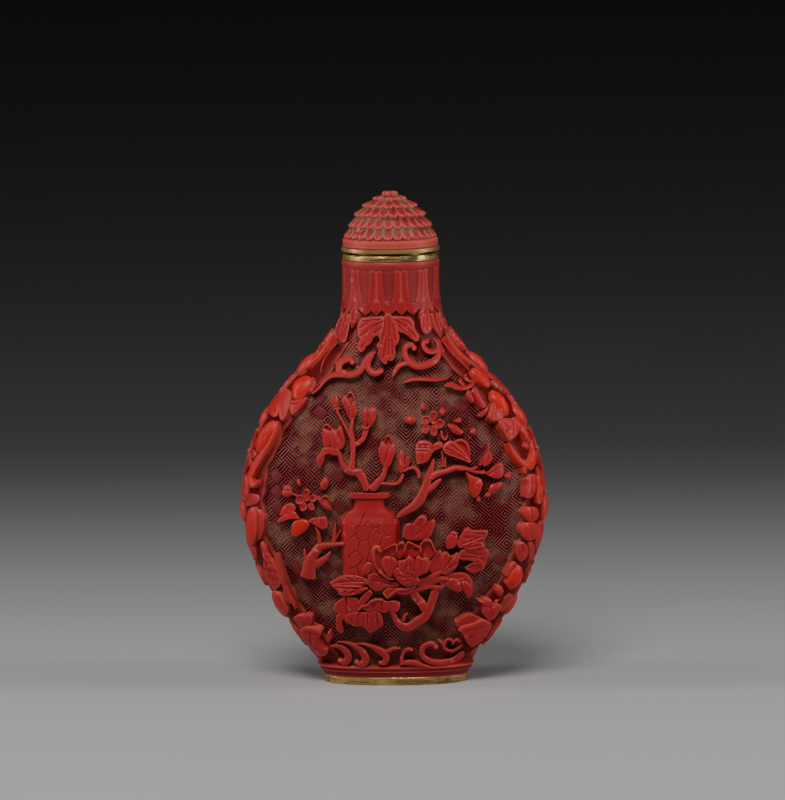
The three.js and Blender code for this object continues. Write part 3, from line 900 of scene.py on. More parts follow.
class SnuffColours(bpy.types.PropertyGroup):
    """Colours of the lacquer, the dust and the brass, with the painted shade and painted highlights of the
    lacquer.
    """
    cinnabar: colour_setting("Cinnabar", "Main red of the carving", (154, 24, 32))
    cinnabar_light: colour_setting("Light cinnabar", "Lighter mottling of the red", (168, 32, 36))
    # painted shade: the dark red laid on the low places and recesses of the carving
    painted_shade_red: colour_setting("Deep red", "Dark red painted low on the carving as shade", (74, 3, 8))
    # painted highlight: the orange red of the side light, laid on chosen fruits and leaves
    painted_highlight_red: colour_setting("Orange red", "Orange red painted on fruits and leaves as highlight", (200, 26, 16))
    # real wear and painted highlight: the pale red laid on sharp standing edges
    edge_wear_and_highlight_red: colour_setting("Edge wear and highlight", "Edges lightened by wear and painted highlight", (200, 92, 82))
    dust: colour_setting("Dust", "Dust in the recesses", (150, 134, 108))
    ground_ridge: colour_setting("Ground ridges", "Ridges of the diaper", (138, 28, 36))
    ground_worn: colour_setting("Worn ground", "Rubbed and dusty ridges", (158, 72, 68))
    # painted shade: the near-black red of the diaper's grooves
    groove_painted_shade: colour_setting("Ground grooves", "Painted shade in the grooves of the diaper", (42, 2, 6))
    ground_plain: colour_setting("Plain ground", "Smooth squares of the ground", (104, 24, 28))
    brass: colour_setting("Brass", "Rubbed brass", (206, 168, 104))
    tarnish: colour_setting("Tarnish", "Brown tarnish on the brass", (84, 60, 36))


# ---- The body and its ground ----

PANEL_LEFT = np.array([(4, -8.6), (8, -10.6), (11, -13.2), (15, -15.6), (20, -17.6), (24, -20),
                       (28, -20.2), (32, -20.2), (36, -19.2), (40, -17.4), (43, -15.8),
                       (46, -13.6), (49, -11), (52, -8.4), (56, -6.4)])
PANEL_RIGHT = np.array([(4, 8.8), (8, 10.4), (11, 12), (14, 14.4), (17, 17), (20, 18.4), (24, 20.4),
                        (28, 20.8), (31.5, 21), (35, 20.5), (38, 19.4), (41, 17.4), (44, 15.6),
                        (47, 13.4), (50, 11.2), (52, 9), (56, 6.6)])


def turned(pairs, steps):
    """Points and faces of a round solid spun from a (radius, height) outline that starts and
    ends on the axis or meets itself."""
    closed = pairs[0] == pairs[-1]
    outline = pairs[:-1] if closed else pairs
    edges = [(i, i + 1) for i in range(len(outline) - 1)]
    if closed:
        edges.append((len(outline) - 1, 0))
    mesh = bpy.data.meshes.new("outline")
    mesh.from_pydata([(r, 0, z) for r, z in outline], edges, [])
    obj = bpy.data.objects.new("outline", mesh)
    bpy.context.scene.collection.objects.link(obj)
    only(obj)
    bpy.ops.object.mode_set(mode="EDIT")
    bpy.ops.mesh.select_all(action="SELECT")
    bpy.ops.mesh.spin(steps=steps, angle=2 * PI, center=(0, 0, 0), axis=(0, 0, 1))
    bpy.ops.mesh.select_all(action="SELECT")
    bpy.ops.mesh.remove_doubles(threshold=1e-4)
    bpy.ops.mesh.normals_make_consistent(inside=False)
    bpy.ops.object.mode_set(mode="OBJECT")
    return take(obj)


def to_oval(p, a, b, n):
    """Takes circles of radius 1 to ovals of the given half-sizes; other radii scale with them."""
    reach = np.hypot(p[:, 0], p[:, 1])
    safe = np.maximum(reach, 1e-9)
    x, y = np.abs(p[:, 0] / safe) / a, np.abs(p[:, 1] / safe) / b
    size = (x ** n + y ** n) ** (-1 / n)
    return np.stack([p[:, 0] * size, p[:, 1] * size, p[:, 2]], axis=1)


def shell(carving):
    """The hollow body: the ground outside, the cavity and the bore inside."""
    wall = sizes().wall / MM
    up = [(1.0, z) for z in np.linspace(FOOT_HEIGHT, NECK_TOP, 130)]
    down = [(0.5, z) for z in np.linspace(NECK_TOP, CAVITY_FLOOR, 50)]
    made = turned([(0, FOOT_HEIGHT), *up, *down, (0, CAVITY_FLOOR)], 144)
    p = made[0]
    reach = np.hypot(p[:, 0], p[:, 1])
    a, b, n = section(p[:, 2])
    sunk = PANEL_DEPTH * smooth(5, 7.5, p[:, 2]) * (1 - smooth(53, 56, p[:, 2]))
    outer = to_oval(p, a - sunk, b - sunk, n)
    unit = p * (2, 2, 1)
    inner = to_oval(unit, np.maximum(a - wall, BORE_RADIUS), np.maximum(b - wall, BORE_RADIUS), n)
    places = np.where((reach > 0.75)[:, None], outer, inner)
    places[reach < 0.01, :2] = 0
    # painted shade: the outside is set low and the inside lowest, so they take the dark red
    carving.add(made, places, np.where(reach > 0.75, 0.0, -1.0))


def foot_and_neck_rings(carving):
    """The moulding over the brass foot and the ring under the brass lip."""
    foot = turned([(0, 1.3), (1.0, 1.3), (1.0, 1.45), (1.03, 1.95), (1.044, 2.05), (1.046, 2.17),
                   (1.038, 2.25), (1.06, 2.6), (1.08, 2.74), (1.082, 2.9), (1.05, 3.08), (0.97, 3.3),
                   (0, 3.3)], 128)
    p = to_oval(foot[0], FOOT_HALF_WIDTH, FOOT_HALF_DEPTH, BODY_SQUARENESS)
    # painted shade: the lower band of the moulding, which turns down and in towards the brass, is set low so
    # it takes the dark red
    carving.add(foot, p, np.where(p[:, 2] > 2.65, 0.8, 0.2))
    ring = turned([(5, 66.9), (7.4, 66.9), (7.66, 67.05), (7.84, 67.35), (7.9, 67.8), (7.88, 68.25),
                   (7.78, 68.44), (7.6, 68.5), (5, 68.5), (5, 66.9)], 128)
    carving.add(ring, ring[0], 0.5)


RIDGE, BAR_HALF, SLOPE = 0.13, 0.07, 0.03


def ringed_cell(side, rings):
    """One square of the ground: nested square ridges round a small boss."""
    key = ("cell", side, rings)
    if key not in BLANKS:
        deep, ridge, slope = sizes().groove / MM, RIDGE, SLOPE
        floor = sizes().pitch / MM - ridge - 2 * slope
        deselect()
        bpy.ops.mesh.primitive_plane_add(size=side)
        obj = bpy.context.object
        bpy.ops.object.mode_set(mode="EDIT")
        bpy.ops.mesh.select_all(action="SELECT")
        bpy.ops.mesh.inset(thickness=ridge / 2, depth=0)
        for k in range(rings):
            bpy.ops.mesh.inset(thickness=slope, depth=-deep)
            bpy.ops.mesh.inset(thickness=floor, depth=0)
            bpy.ops.mesh.inset(thickness=slope, depth=deep)
            if k < rings - 1:
                bpy.ops.mesh.inset(thickness=ridge, depth=0)
        if rings > 2:
            bpy.ops.mesh.select_all(action="SELECT")
            bpy.ops.mesh.subdivide(number_cuts=1)
        BLANKS[key] = closed_below(obj, SINK)
    return BLANKS[key]


def barred_cell(side, bars):
    """A small square of the ground with straight ridges."""
    deep, pitch = sizes().groove / MM, side / bars
    across, high = [], []
    for k in range(bars):
        start = -side / 2 + k * pitch
        stop = start + pitch
        across += [start, start + BAR_HALF, start + BAR_HALF + SLOPE, stop - BAR_HALF - SLOPE,
                   stop - BAR_HALF]
        high += [0, 0, -deep, -deep, 0]
    across.append(side / 2)
    high.append(0)
    blank = slab(1, len(across) - 1)
    x, y, z = blank[0].T
    row = np.rint((y + 1) / 2 * (len(across) - 1)).astype(int)
    places = np.stack([x * side / 2, np.array(across)[row],
                       np.where(z > 0.5, np.array(high)[row], -SINK)], axis=1)
    return places, blank[1], blank[2]


def plain_cell(side):
    """A small smooth square of the ground with a rolled edge."""
    blank = slab(3, 3)
    x, y, z = blank[0].T
    rim = np.maximum(np.abs(x), np.abs(y)) > 0.9
    high = np.where(z > 0.5, np.where(rim, -0.05, -0.01), -SINK)
    stretch = np.where(rim, 1, 2.6)
    x, y = x * stretch, y * stretch
    return np.stack([np.clip(x, -0.93, 0.93) * side / 2, np.clip(y, -0.93, 0.93) * side / 2,
                     high], axis=1), blank[1], blank[2]


DIAPER_MIDDLE = (0.6, 30)
DIAPER_MARGIN = 0.9


def diaper(carving, lay, seed):
    """Covers one face with the squared ground, its squares standing on their corners."""
    side = sizes().cell / MM
    half = side / 2
    cos, sin = math.cos(sizes().lattice_turn), math.sin(sizes().lattice_turn)
    bars = round(half / (sizes().pitch / MM))
    chosen = np.random.default_rng(seed)
    kinds = {
        "rings": ringed_cell(side, 4), "small rings": ringed_cell(half, 2),
        "bars": barred_cell(half, bars), "plain": plain_cell(half),
    }

    def on_lattice(x, y):
        return DIAPER_MIDDLE[0] + x * cos - y * sin, DIAPER_MIDDLE[1] + x * sin + y * cos

    def set_down(kind, x, y, quarter_turn=0, tint=0.0):
        blank = kinds[kind]
        px, py, pz = blank[0].T
        for _ in range(quarter_turn):
            px, py = -py, px
        u, v = on_lattice(x + px, y + py)
        low, high = along(PANEL_LEFT, v) - DIAPER_MARGIN, along(PANEL_RIGHT, v) + DIAPER_MARGIN
        if np.all(u < low) or np.all(u > high):
            return
        inside = np.clip(u, low, high)
        u = inside + 0.03 * (u - inside)
        carving.add(blank, lay(u, v, pz), pz, tint)

    for i in range(-9, 10):
        for j in range(-9, 10):
            x, y = i * side, j * side
            u, v = on_lattice(x, y)
            if not (6.5 < v < 55 and along(PANEL_LEFT, v) - 2.6 < u < along(PANEL_RIGHT, v) + 2.6):
                continue
            broken = u < -5.5 or (u > 7.5 and v < 19) or chosen.random() < 0.1
            if not broken:
                set_down("rings", x, y)
                continue
            for p in (0, 1):
                for q in (0, 1):
                    qx, qy = x + (p - 0.5) * half, y + (q - 0.5) * half
                    luck = chosen.random()
                    if (p + q) % 2:
                        set_down("plain" if luck < 0.3 else "bars", qx, qy, 1, float(luck < 0.3))
                    else:
                        set_down("small rings" if luck < 0.3 else "bars", qx, qy, 0)


BAND_LOW, BAND_HIGH = 4.2, 55.6
# How far the band's colour is lowered towards the dark red, as painted shade between the border's forms.
BAND_PAINTED_SHADE = 0.6


def border_band(carving, sign):
    """The raised band round one narrow side, between the two pictures."""
    blank = slab(26, 70)
    x, y, z = blank[0].T
    high = BAND_LOW + (BAND_HIGH - BAND_LOW) * (y + 1) / 2
    near, far = (PANEL_RIGHT, PANEL_LEFT) if sign > 0 else (PANEL_LEFT, PANEL_RIGHT)
    wave = 0.15 * np.sin(high * 1.1) + 0.1 * np.sin(high * 2.3 + 1)
    start = np.abs(turn_at(along(near, high) + sign * wave, high))
    stop = 180 - np.abs(turn_at(along(far, high) - sign * wave, high))
    turn = start + (stop - start) * (x + 1) / 2
    ground = on_ground(sign * turn, high)
    top = sizes().border / MM - 0.12 * smooth(0.88, 1, np.abs(x))
    top = top * smooth(BAND_LOW, 6, high) * (1 - 0.8 * smooth(53, BAND_HIGH, high)) + 0.02
    lift = np.where(z > 0.5, top, -SINK)
    places = ground + outward(ground) * lift[:, None]
    corners = flipped(blank) if sign < 0 else blank[1]
    # painted shade: the band is set low for the colour so that it takes the dark red
    carving.add((blank[0], corners, blank[2]), places, lift - BAND_PAINTED_SHADE)


def flipped(blank):
    """The blank's corners with every face turned over, for a mirrored copy."""
    corners, start = blank[1].copy(), 0
    for count in blank[2]:
        corners[start:start + count] = corners[start:start + count][::-1]
        start += count
    return corners


# ---- The picture ----

VASE_LOW, VASE_HIGH, VASE_MIDDLE = 18, 32.1, -3.25
CRACK_DEPTH, CRACK_WIDTH = 0.13, 0.075


def vase_forms(carving, lay):
    """The vase, with the crackle cut into its wall."""
    outline = np.array([(VASE_LOW, 4.2), (18.6, 4.45), (23, 4.65), (27.3, 4.72), (28, 4.55),
                        (28.8, 3.85), (29.4, 2.95), (29.9, 2.45), (30.9, 2.36), (31.15, 2.45),
                        (31.25, 3.2), (31.4, 3.28), (31.95, 3.28), (VASE_HIGH, 3.15)])
    relief = np.array([(VASE_LOW, 1.3), (22, 1.6), (27.2, 1.8), (28.2, 1.5), (29.8, 1.2), (31.1, 1.2),
                       (31.3, 1.6), (VASE_HIGH, 1.6)])
    cracks = [
        [(-6.6, 24.6), (-5.4, 25.6), (-4.6, 27.6), (-3.8, 29.2)],
        [(-5.4, 25.6), (-4.9, 24.2), (-5.2, 22.8), (-4.4, 21.4)],
        [(-4.9, 24.2), (-3.6, 24.6), (-2.7, 26.4), (-1.4, 26.9)],
        [(-3.6, 24.6), (-3.2, 23), (-3.8, 21.2), (-3.3, 19.2)],
        [(-3.2, 23), (-1.9, 23.4), (-0.8, 22.6), (0.6, 23.1)], [(-1.9, 23.4), (-1.2, 25), (0.2, 25.4)],
        [(-2.7, 26.4), (-3.4, 27.6), (-4.2, 26.8)], [(-5.2, 22.8), (-6.2, 22.4), (-6.9, 21.6)],
        [(-4.4, 21.4), (-5.4, 20.2), (-5.1, 18.6), (-6.1, 17.4)],
        [(-3.8, 21.2), (-2.6, 20.6), (-2.2, 19.2)], [(-1.2, 25), (-2, 25.9), (-1.6, 27.4)],
        [(-6.3, 27.2), (-5.5, 26.8), (-5.4, 25.6)], [(-0.8, 22.6), (-1.3, 21.5), (-0.4, 20.6)],
        [(-5.4, 20.2), (-6.6, 19.8)],
    ]
    blank = slab(100, 150)
    x, y, z = blank[0].T
    v = VASE_LOW + (VASE_HIGH - VASE_LOW) * (y + 1) / 2
    half = np.interp(v, outline[:, 0], outline[:, 1])
    s = np.sign(x) * np.abs(x) ** 0.9
    u = VASE_MIDDLE + s * half
    round_off = 1 - 0.42 * np.abs(s) ** 3 - 0.25 * smooth(0.86, 1, np.abs(s))
    cut = CRACK_DEPTH * np.exp(-(near(u, v, cracks) / CRACK_WIDTH) ** 2)
    h = np.where(z > 0.5, np.interp(v, relief[:, 0], relief[:, 1]) * round_off - cut, -SINK)
    # painted shade: the crackle is set far deeper for the colour than it is cut, so its lines take the dark
    # red
    carving.add(blank, lay(u, v, h), np.where(z > 0.5, h - 13 * cut, h))


def magnolia_forms(carving, lay):
    """The magnolia in the vase: its stems, its buds, its open flower and the sepals."""
    face = Drawn(carving, lay)
    face.limb([(-3.4, 32.2), (-4, 33.6), (-4.7, 34.8), (-5.8, 35.3)], [1.1, 1, 1.2, 1])
    face.limb([(-4.2, 35.4), (-5, 35.2), (-6.1, 35.2), (-6.9, 35.6), (-7.5, 36.6), (-7.9, 37.8),
        (-8.4, 38.7)], [0.6, 1, 1.1, 0.9, 0.75, 0.7, 0.65])
    face.limb([(-6.1, 35.4), (-5.9, 37), (-5.8, 38.8), (-5.9, 40.4), (-5.95, 42), (-5.8, 43.8)],
        [1.1, 0.7, 0.7, 0.8, 0.55, 0.6], height=1.35)
    face.limb([(-5.9, 40.2), (-6.5, 41.6), (-7.3, 43.2), (-8.1, 44.6), (-8.4, 45.5)], [0.6, 0.5, 0.45, 0.5])
    face.limb([(-5.7, 39.5), (-4.9, 40), (-4.2, 40.6), (-3.8, 41.6), (-3.6, 42.5)], [0.8, 0.7, 0.75, 0.8])
    face.limb([(-2.9, 32.3), (-1.8, 33.4), (-1, 34.5), (-0.5, 36.3)], [1.2, 1, 0.75, 0.7])
    face.limb([(-2.2, 33.3), (-0.6, 33.3), (0.8, 33.2), (1.6, 33.5), (2, 34.1), (2.2, 35)],
        [0.5, 0.4, 0.45, 0.6, 0.5], height=1.15)
    # the open bud on the middle stem
    face.plate([(-7, 46.9), (-6.6, 47.9), (-6.2, 48.2), (-5.8, 47.9), (-5.5, 47), (-5.2, 46), (-6, 45.6)],
        height=1.25, cup=0.7)
    face.plate([(-7.45, 46.7), (-7.3, 47.5), (-6.9, 47.55), (-6.45, 46.9), (-6, 46.3), (-5.75, 46.7),
        (-5.5, 46.8), (-5.3, 46), (-5.15, 45), (-5.3, 44.2), (-5.7, 43.7), (-6.15, 43.7), (-6.7, 44.5),
        (-7.2, 45.7)], height=1.65, bulge=0.25, cuts=[[(-6, 46.2), (-6.3, 45), (-6.2, 43.9)],
        [(-6.2, 44.1), (-5.3, 44.15)]])
    # the small bud on the left
    face.plate([(-9.2, 47), (-9, 47.6), (-8.75, 47.4), (-8.5, 47.75), (-8.2, 47.4), (-7.95, 46.8),
        (-7.9, 46.1), (-8.1, 45.6), (-8.9, 45.6), (-9.1, 46.2)], height=1.35, bulge=0.2,
        cuts=[[(-8.75, 47.2), (-8.7, 46.2)]])
    face.limb([(-8.9, 45.5), (-8.4, 45.45), (-7.8, 45.6)], [0.35, 0.45, 0.35], height=1.4)
    # the pair on the right
    face.plate([(-4.25, 45.2), (-4, 45.6), (-3.7, 45.5), (-3.4, 45.2), (-3.35, 44.2), (-3.4, 43.2),
        (-3.6, 42.6), (-4.05, 42.8), (-4.25, 43.6), (-4.35, 44.5)], height=1.5, bulge=0.15)
    face.plate([(-3.3, 45.2), (-2.9, 45.5), (-2.4, 45.65), (-2.15, 45.4), (-2.15, 44.4), (-2.25, 43.6),
        (-2.6, 42.9), (-3, 42.5), (-3.35, 42.8), (-3.4, 43.6), (-3.3, 44.5)], height=1.5, bulge=0.15)
    face.limb([(-4.3, 42.7), (-3.7, 42.35), (-3.1, 42.6)], [0.3, 0.5, 0.3], height=1.6)
    # the large flower on the left
    face.plate([(-10.6, 42.2), (-10.4, 42.8), (-9.9, 42.9), (-9.3, 42.4), (-8.9, 41.6), (-9.9, 41)],
        height=1.2, cup=0.6)
    face.plate([(-10.7, 41.4), (-10.5, 42.3), (-10, 42.1), (-9.5, 41.7), (-9.4, 40.5), (-9.5, 39.4),
        (-10, 39.2), (-10.5, 39.6), (-10.65, 40.5)], height=1.4, bulge=0.15)
    face.plate([(-8.35, 42), (-7.9, 42.7), (-7.6, 42.4), (-7.3, 41.6), (-7.05, 40.7), (-7.1, 39.7),
        (-7.5, 39), (-8.1, 38.8), (-8.3, 39.8), (-8.3, 41)], height=1.4, bulge=0.15,
        cuts=[[(-8, 41.6), (-7.5, 40.2)]])
    face.plate([(-9.45, 41.7), (-9.1, 42.15), (-8.7, 42), (-8.35, 41.8), (-8.2, 41), (-7.85, 40.3),
        (-7.8, 39.5), (-8.1, 38.9), (-8.8, 38.8), (-9.3, 39.2), (-9.4, 40.2)], height=1.7, bulge=0.2)
    face.plate([(-8.1, 38.9), (-9.2, 39.2), (-10.2, 39.3), (-10.7, 38.8), (-10.4, 38.2), (-9.4, 38.1),
        (-8.7, 37.9), (-8.2, 38.1)], height=1.5)
    face.plate([(-10.2, 39.1), (-10.8, 38.6), (-11.2, 38), (-11.6, 37.5), (-11.6, 36.8), (-11.35, 36.1),
        (-11, 35.9), (-10.65, 36.4), (-10.35, 37.1), (-10.1, 37.9), (-9.8, 38.6)], height=1.5, bulge=0.2)
    # the tall bud beside the plum
    face.plate([(-1, 39.9), (-0.6, 40.7), (-0.2, 41.2), (0.15, 41), (0.4, 40.4), (0.7, 39.5), (-0.1, 38.8)],
        height=1.25, cup=0.7)
    face.plate([(-1.65, 38.8), (-1.4, 39.8), (-1.05, 40.2), (-0.6, 39.8), (-0.2, 39.1), (-0.2, 38.4),
        (-0.5, 37.4), (-0.6, 36.5), (-0.85, 36.1), (-1.3, 36.7), (-1.6, 37.7)], height=1.55, bulge=0.2)
    face.plate([(-0.05, 39), (0.35, 39.6), (0.7, 39.8), (0.95, 39.2), (0.9, 38.3), (0.6, 37.3), (0.2, 36.4),
        (-0.2, 36), (-0.75, 36.2), (-0.65, 37), (-0.4, 38), (-0.2, 38.6)], height=1.6, bulge=0.2)
    # the sepals over the vase's shoulder
    face.plate([(2.5, 37.1), (3.1, 37.6), (3.4, 37), (3.1, 36.2), (2.5, 35.9)], height=1.1)
    face.plate([(1.3, 37.9), (1.85, 38.6), (2.2, 38.4), (2.4, 37.7), (2.45, 36.8), (2.4, 35.8), (2.1, 35.2),
        (1.75, 35.1), (1.45, 35.9), (1.35, 36.9)], height=1.4, bulge=0.15)
    face.limb([(2.2, 35.3), (2.9, 35.7), (3.7, 35.9), (4.4, 35.5), (4.75, 34.8), (4.8, 34.2)],
        [0.4, 0.45, 0.5, 0.6, 0.5], height=1.35)


def plum_forms(carving, lay):
    """The plum branch on the right, with its open flower, buds and leaves."""
    heart = tuple(on_face([(7, 43.2)])[0])
    face = Drawn(carving, lay)
    face.limb([(1.3, 27.9), (2.3, 28.6), (3.9, 29.6), (5, 30.8), (5.8, 32.6), (6.3, 34.2), (6.8, 35.7),
        (7.2, 37.4)], [0.7, 1, 1.25, 1.35, 1.2, 1.1, 0.8, 0.4], height=1.4)
    face.limb([(6.4, 34.2), (7.8, 34.9), (9.3, 35.4), (10.6, 35.8), (11.8, 35.75), (13, 35.6), (14.2, 36)],
        [1.1, 0.95, 0.75, 0.8, 0.7, 0.5, 0.3], height=1.45)
    face.limb([(5.7, 31.9), (6.7, 32.6), (7.6, 33.4), (8.3, 34)], [1, 0.85, 0.8, 0.5], height=1.3)
    face.limb([(12.4, 35.5), (13.6, 35.2), (14.6, 35.1), (15.4, 35.2)], [0.3, 0.4, 0.45, 0.5], height=1.35)
    face.limb([(8.6, 36), (8.6, 37.4), (8.4, 38.9)], [0.6, 0.45, 0.3], height=1.1)
    face.limb([(9, 35.9), (8.95, 36.8), (9.05, 37.7)], [0.3, 0.3, 0.2], height=1.2)
    face.limb([(8.3, 42), (8.4, 41), (8.9, 40.4), (9.4, 41.1)], [0.4, 0.4, 0.4, 0.3], height=1.1)
    face.plate([(4.25, 39), (4.4, 39.8), (5, 40.2), (5.8, 40.3), (6.5, 39.95), (7, 39.7), (7.5, 39.95),
        (8.2, 40), (8.65, 39.6), (8.5, 39.15), (7.8, 38.95), (7.2, 38.7), (6.8, 38.1), (6.4, 37.3),
        (5.9, 36.9), (5.2, 36.6), (4.6, 36.5), (4.4, 37), (4.3, 38)], height=1.6,
        cuts=[[(4.4, 39.65), (6.3, 39.6)], [(4.4, 39.2), (6.4, 39.1)], [(4.5, 38.7), (6.2, 38.6)],
        [(5.4, 38.9), (5.3, 37)], [(6.9, 39.6), (6.8, 38.7)]])
    face.plate([(10.2, 40), (10.8, 40.4), (11.5, 40.55), (12.1, 40.2), (12.6, 39.7), (12.95, 38.9),
        (13.05, 38), (12.8, 37.3), (11.8, 38.4), (10.8, 39.4)], height=1.45, cup=0.6)
    face.plate([(8.7, 39.4), (9.1, 39.95), (9.8, 40.2), (10.4, 40.1), (10.9, 39.8), (11.5, 39.2),
        (12.2, 38.3), (12.8, 37.4), (13.1, 37), (12.8, 36.8), (11.9, 37.1), (10.8, 37.6), (9.8, 37.9),
        (9, 38.4), (8.65, 38.9)], height=1.7, cuts=[[(9.2, 39.1), (12.6, 37.2)], [(9.9, 39.7), (12.2, 37.9)],
        [(9.2, 38.6), (11.6, 37.5)]])
    for outline in (
            [(5.2, 43.2), (5.3, 44.1), (5.9, 44.3), (6.4, 44), (6.7, 43.5), (6.3, 43), (5.7, 42.9)],
            [(6.4, 44.2), (6.7, 44.9), (7.2, 45), (7.6, 44.7), (7.6, 43.9), (7.2, 43.4), (6.7, 43.5)],
            [(7.3, 43.3), (7.9, 43.75), (8.6, 43.5), (8.8, 42.9), (8.3, 42.4), (7.7, 42.4), (7.2, 42.8)],
            [(6.7, 42.3), (6.9, 42.9), (7.4, 42.7), (7.7, 41.9), (7.5, 41.2), (6.9, 41.2), (6.6, 41.7)],
            [(5.3, 42.2), (5.5, 42.8), (6.1, 42.9), (6.6, 42.5), (6.3, 41.8), (5.9, 41.5), (5.4, 41.8)]):
        face.plate(outline, height=1.35, cup=0.35, root=heart)
    boss(carving, lay, *heart, 0.7, 0.7, height=1.35, segments=12, rings=8)
    for outline in (
            [(2.4, 43.5), (3, 44.2), (3.9, 44.1), (4.3, 43.6), (4.1, 43.1), (3.4, 42.9), (2.7, 43.1)],
            [(5, 45.9), (5.1, 46.3), (5.5, 46.3), (5.8, 45.6), (5.6, 45.1), (5.2, 45.3)],
            [(7.9, 45.2), (8.4, 45.6), (8.9, 45.1), (8.7, 44.4), (8.2, 44.3)],
            [(9.3, 42.9), (10, 43), (10.7, 42.8), (11.3, 42.3), (11.9, 41.7), (11.6, 41.2), (10.9, 41.2),
             (10.1, 41.6), (9.5, 42.2)],
            [(10.2, 43.5), (10.9, 43.9), (11.5, 43.8), (11.5, 43.2), (10.8, 43.1)],
            [(12.9, 41.7), (13.2, 42.2), (13.7, 42.3), (13.9, 41.7), (13.6, 41.2), (13.1, 41.3)],
            [(18.3, 34.6), (18.7, 35), (19.3, 35), (19.6, 34.5), (19.3, 34), (18.7, 34)],
            [(15.9, 32.3), (16.3, 33), (17.1, 33.4), (17.8, 33.6), (18.1, 33.2), (17.8, 32.5), (17.1, 31.9),
             (16.4, 31.6), (16, 31.7)],
            [(15.1, 31.1), (15.4, 31.7), (15.9, 31.9), (16.3, 31.4), (15.8, 31)],
            [(13.9, 30.7), (14.2, 31.2), (14.6, 31), (14.6, 30.4), (14.2, 30.2)]):
        face.plate(outline, height=1.25, bulge=0.3, segments=40, rings=6)
    face.plate([(15.7, 38.9), (16.3, 38.2), (16.6, 37.4), (16.2, 36.6), (15.5, 36.2), (15, 36.3),
        (15.2, 37.3)], height=1.2)
    face.plate([(14.3, 36.5), (14.6, 37.3), (15.1, 38.2), (15.5, 39.2), (15.8, 39.9), (16.05, 39),
        (15.9, 38), (15.3, 37), (14.7, 36.3)], height=1.45, cup=0.25)
    face.plate([(15.1, 35.1), (15.9, 35.4), (16.6, 36), (17.2, 36.5), (17.9, 36.7), (18.2, 36.2),
        (18.4, 35.4), (18.2, 34.6), (17.6, 34.2), (16.8, 34.2), (16, 34.6)], height=1.5, bulge=0.15,
        cuts=[[(16.2, 34.9), (17.7, 36.1)]])
    face.plate([(12.3, 35.3), (12.8, 34.9), (13.4, 34.5), (14.2, 34.3), (14.8, 33.9), (15, 33.2),
        (14.8, 32.4), (14.5, 31.7), (14.1, 31.2), (13.6, 31.1), (13.1, 31.7), (12.75, 32.6), (12.7, 33.5),
        (12.4, 34.5)], height=1.55, bulge=0.2, tint=0.25)


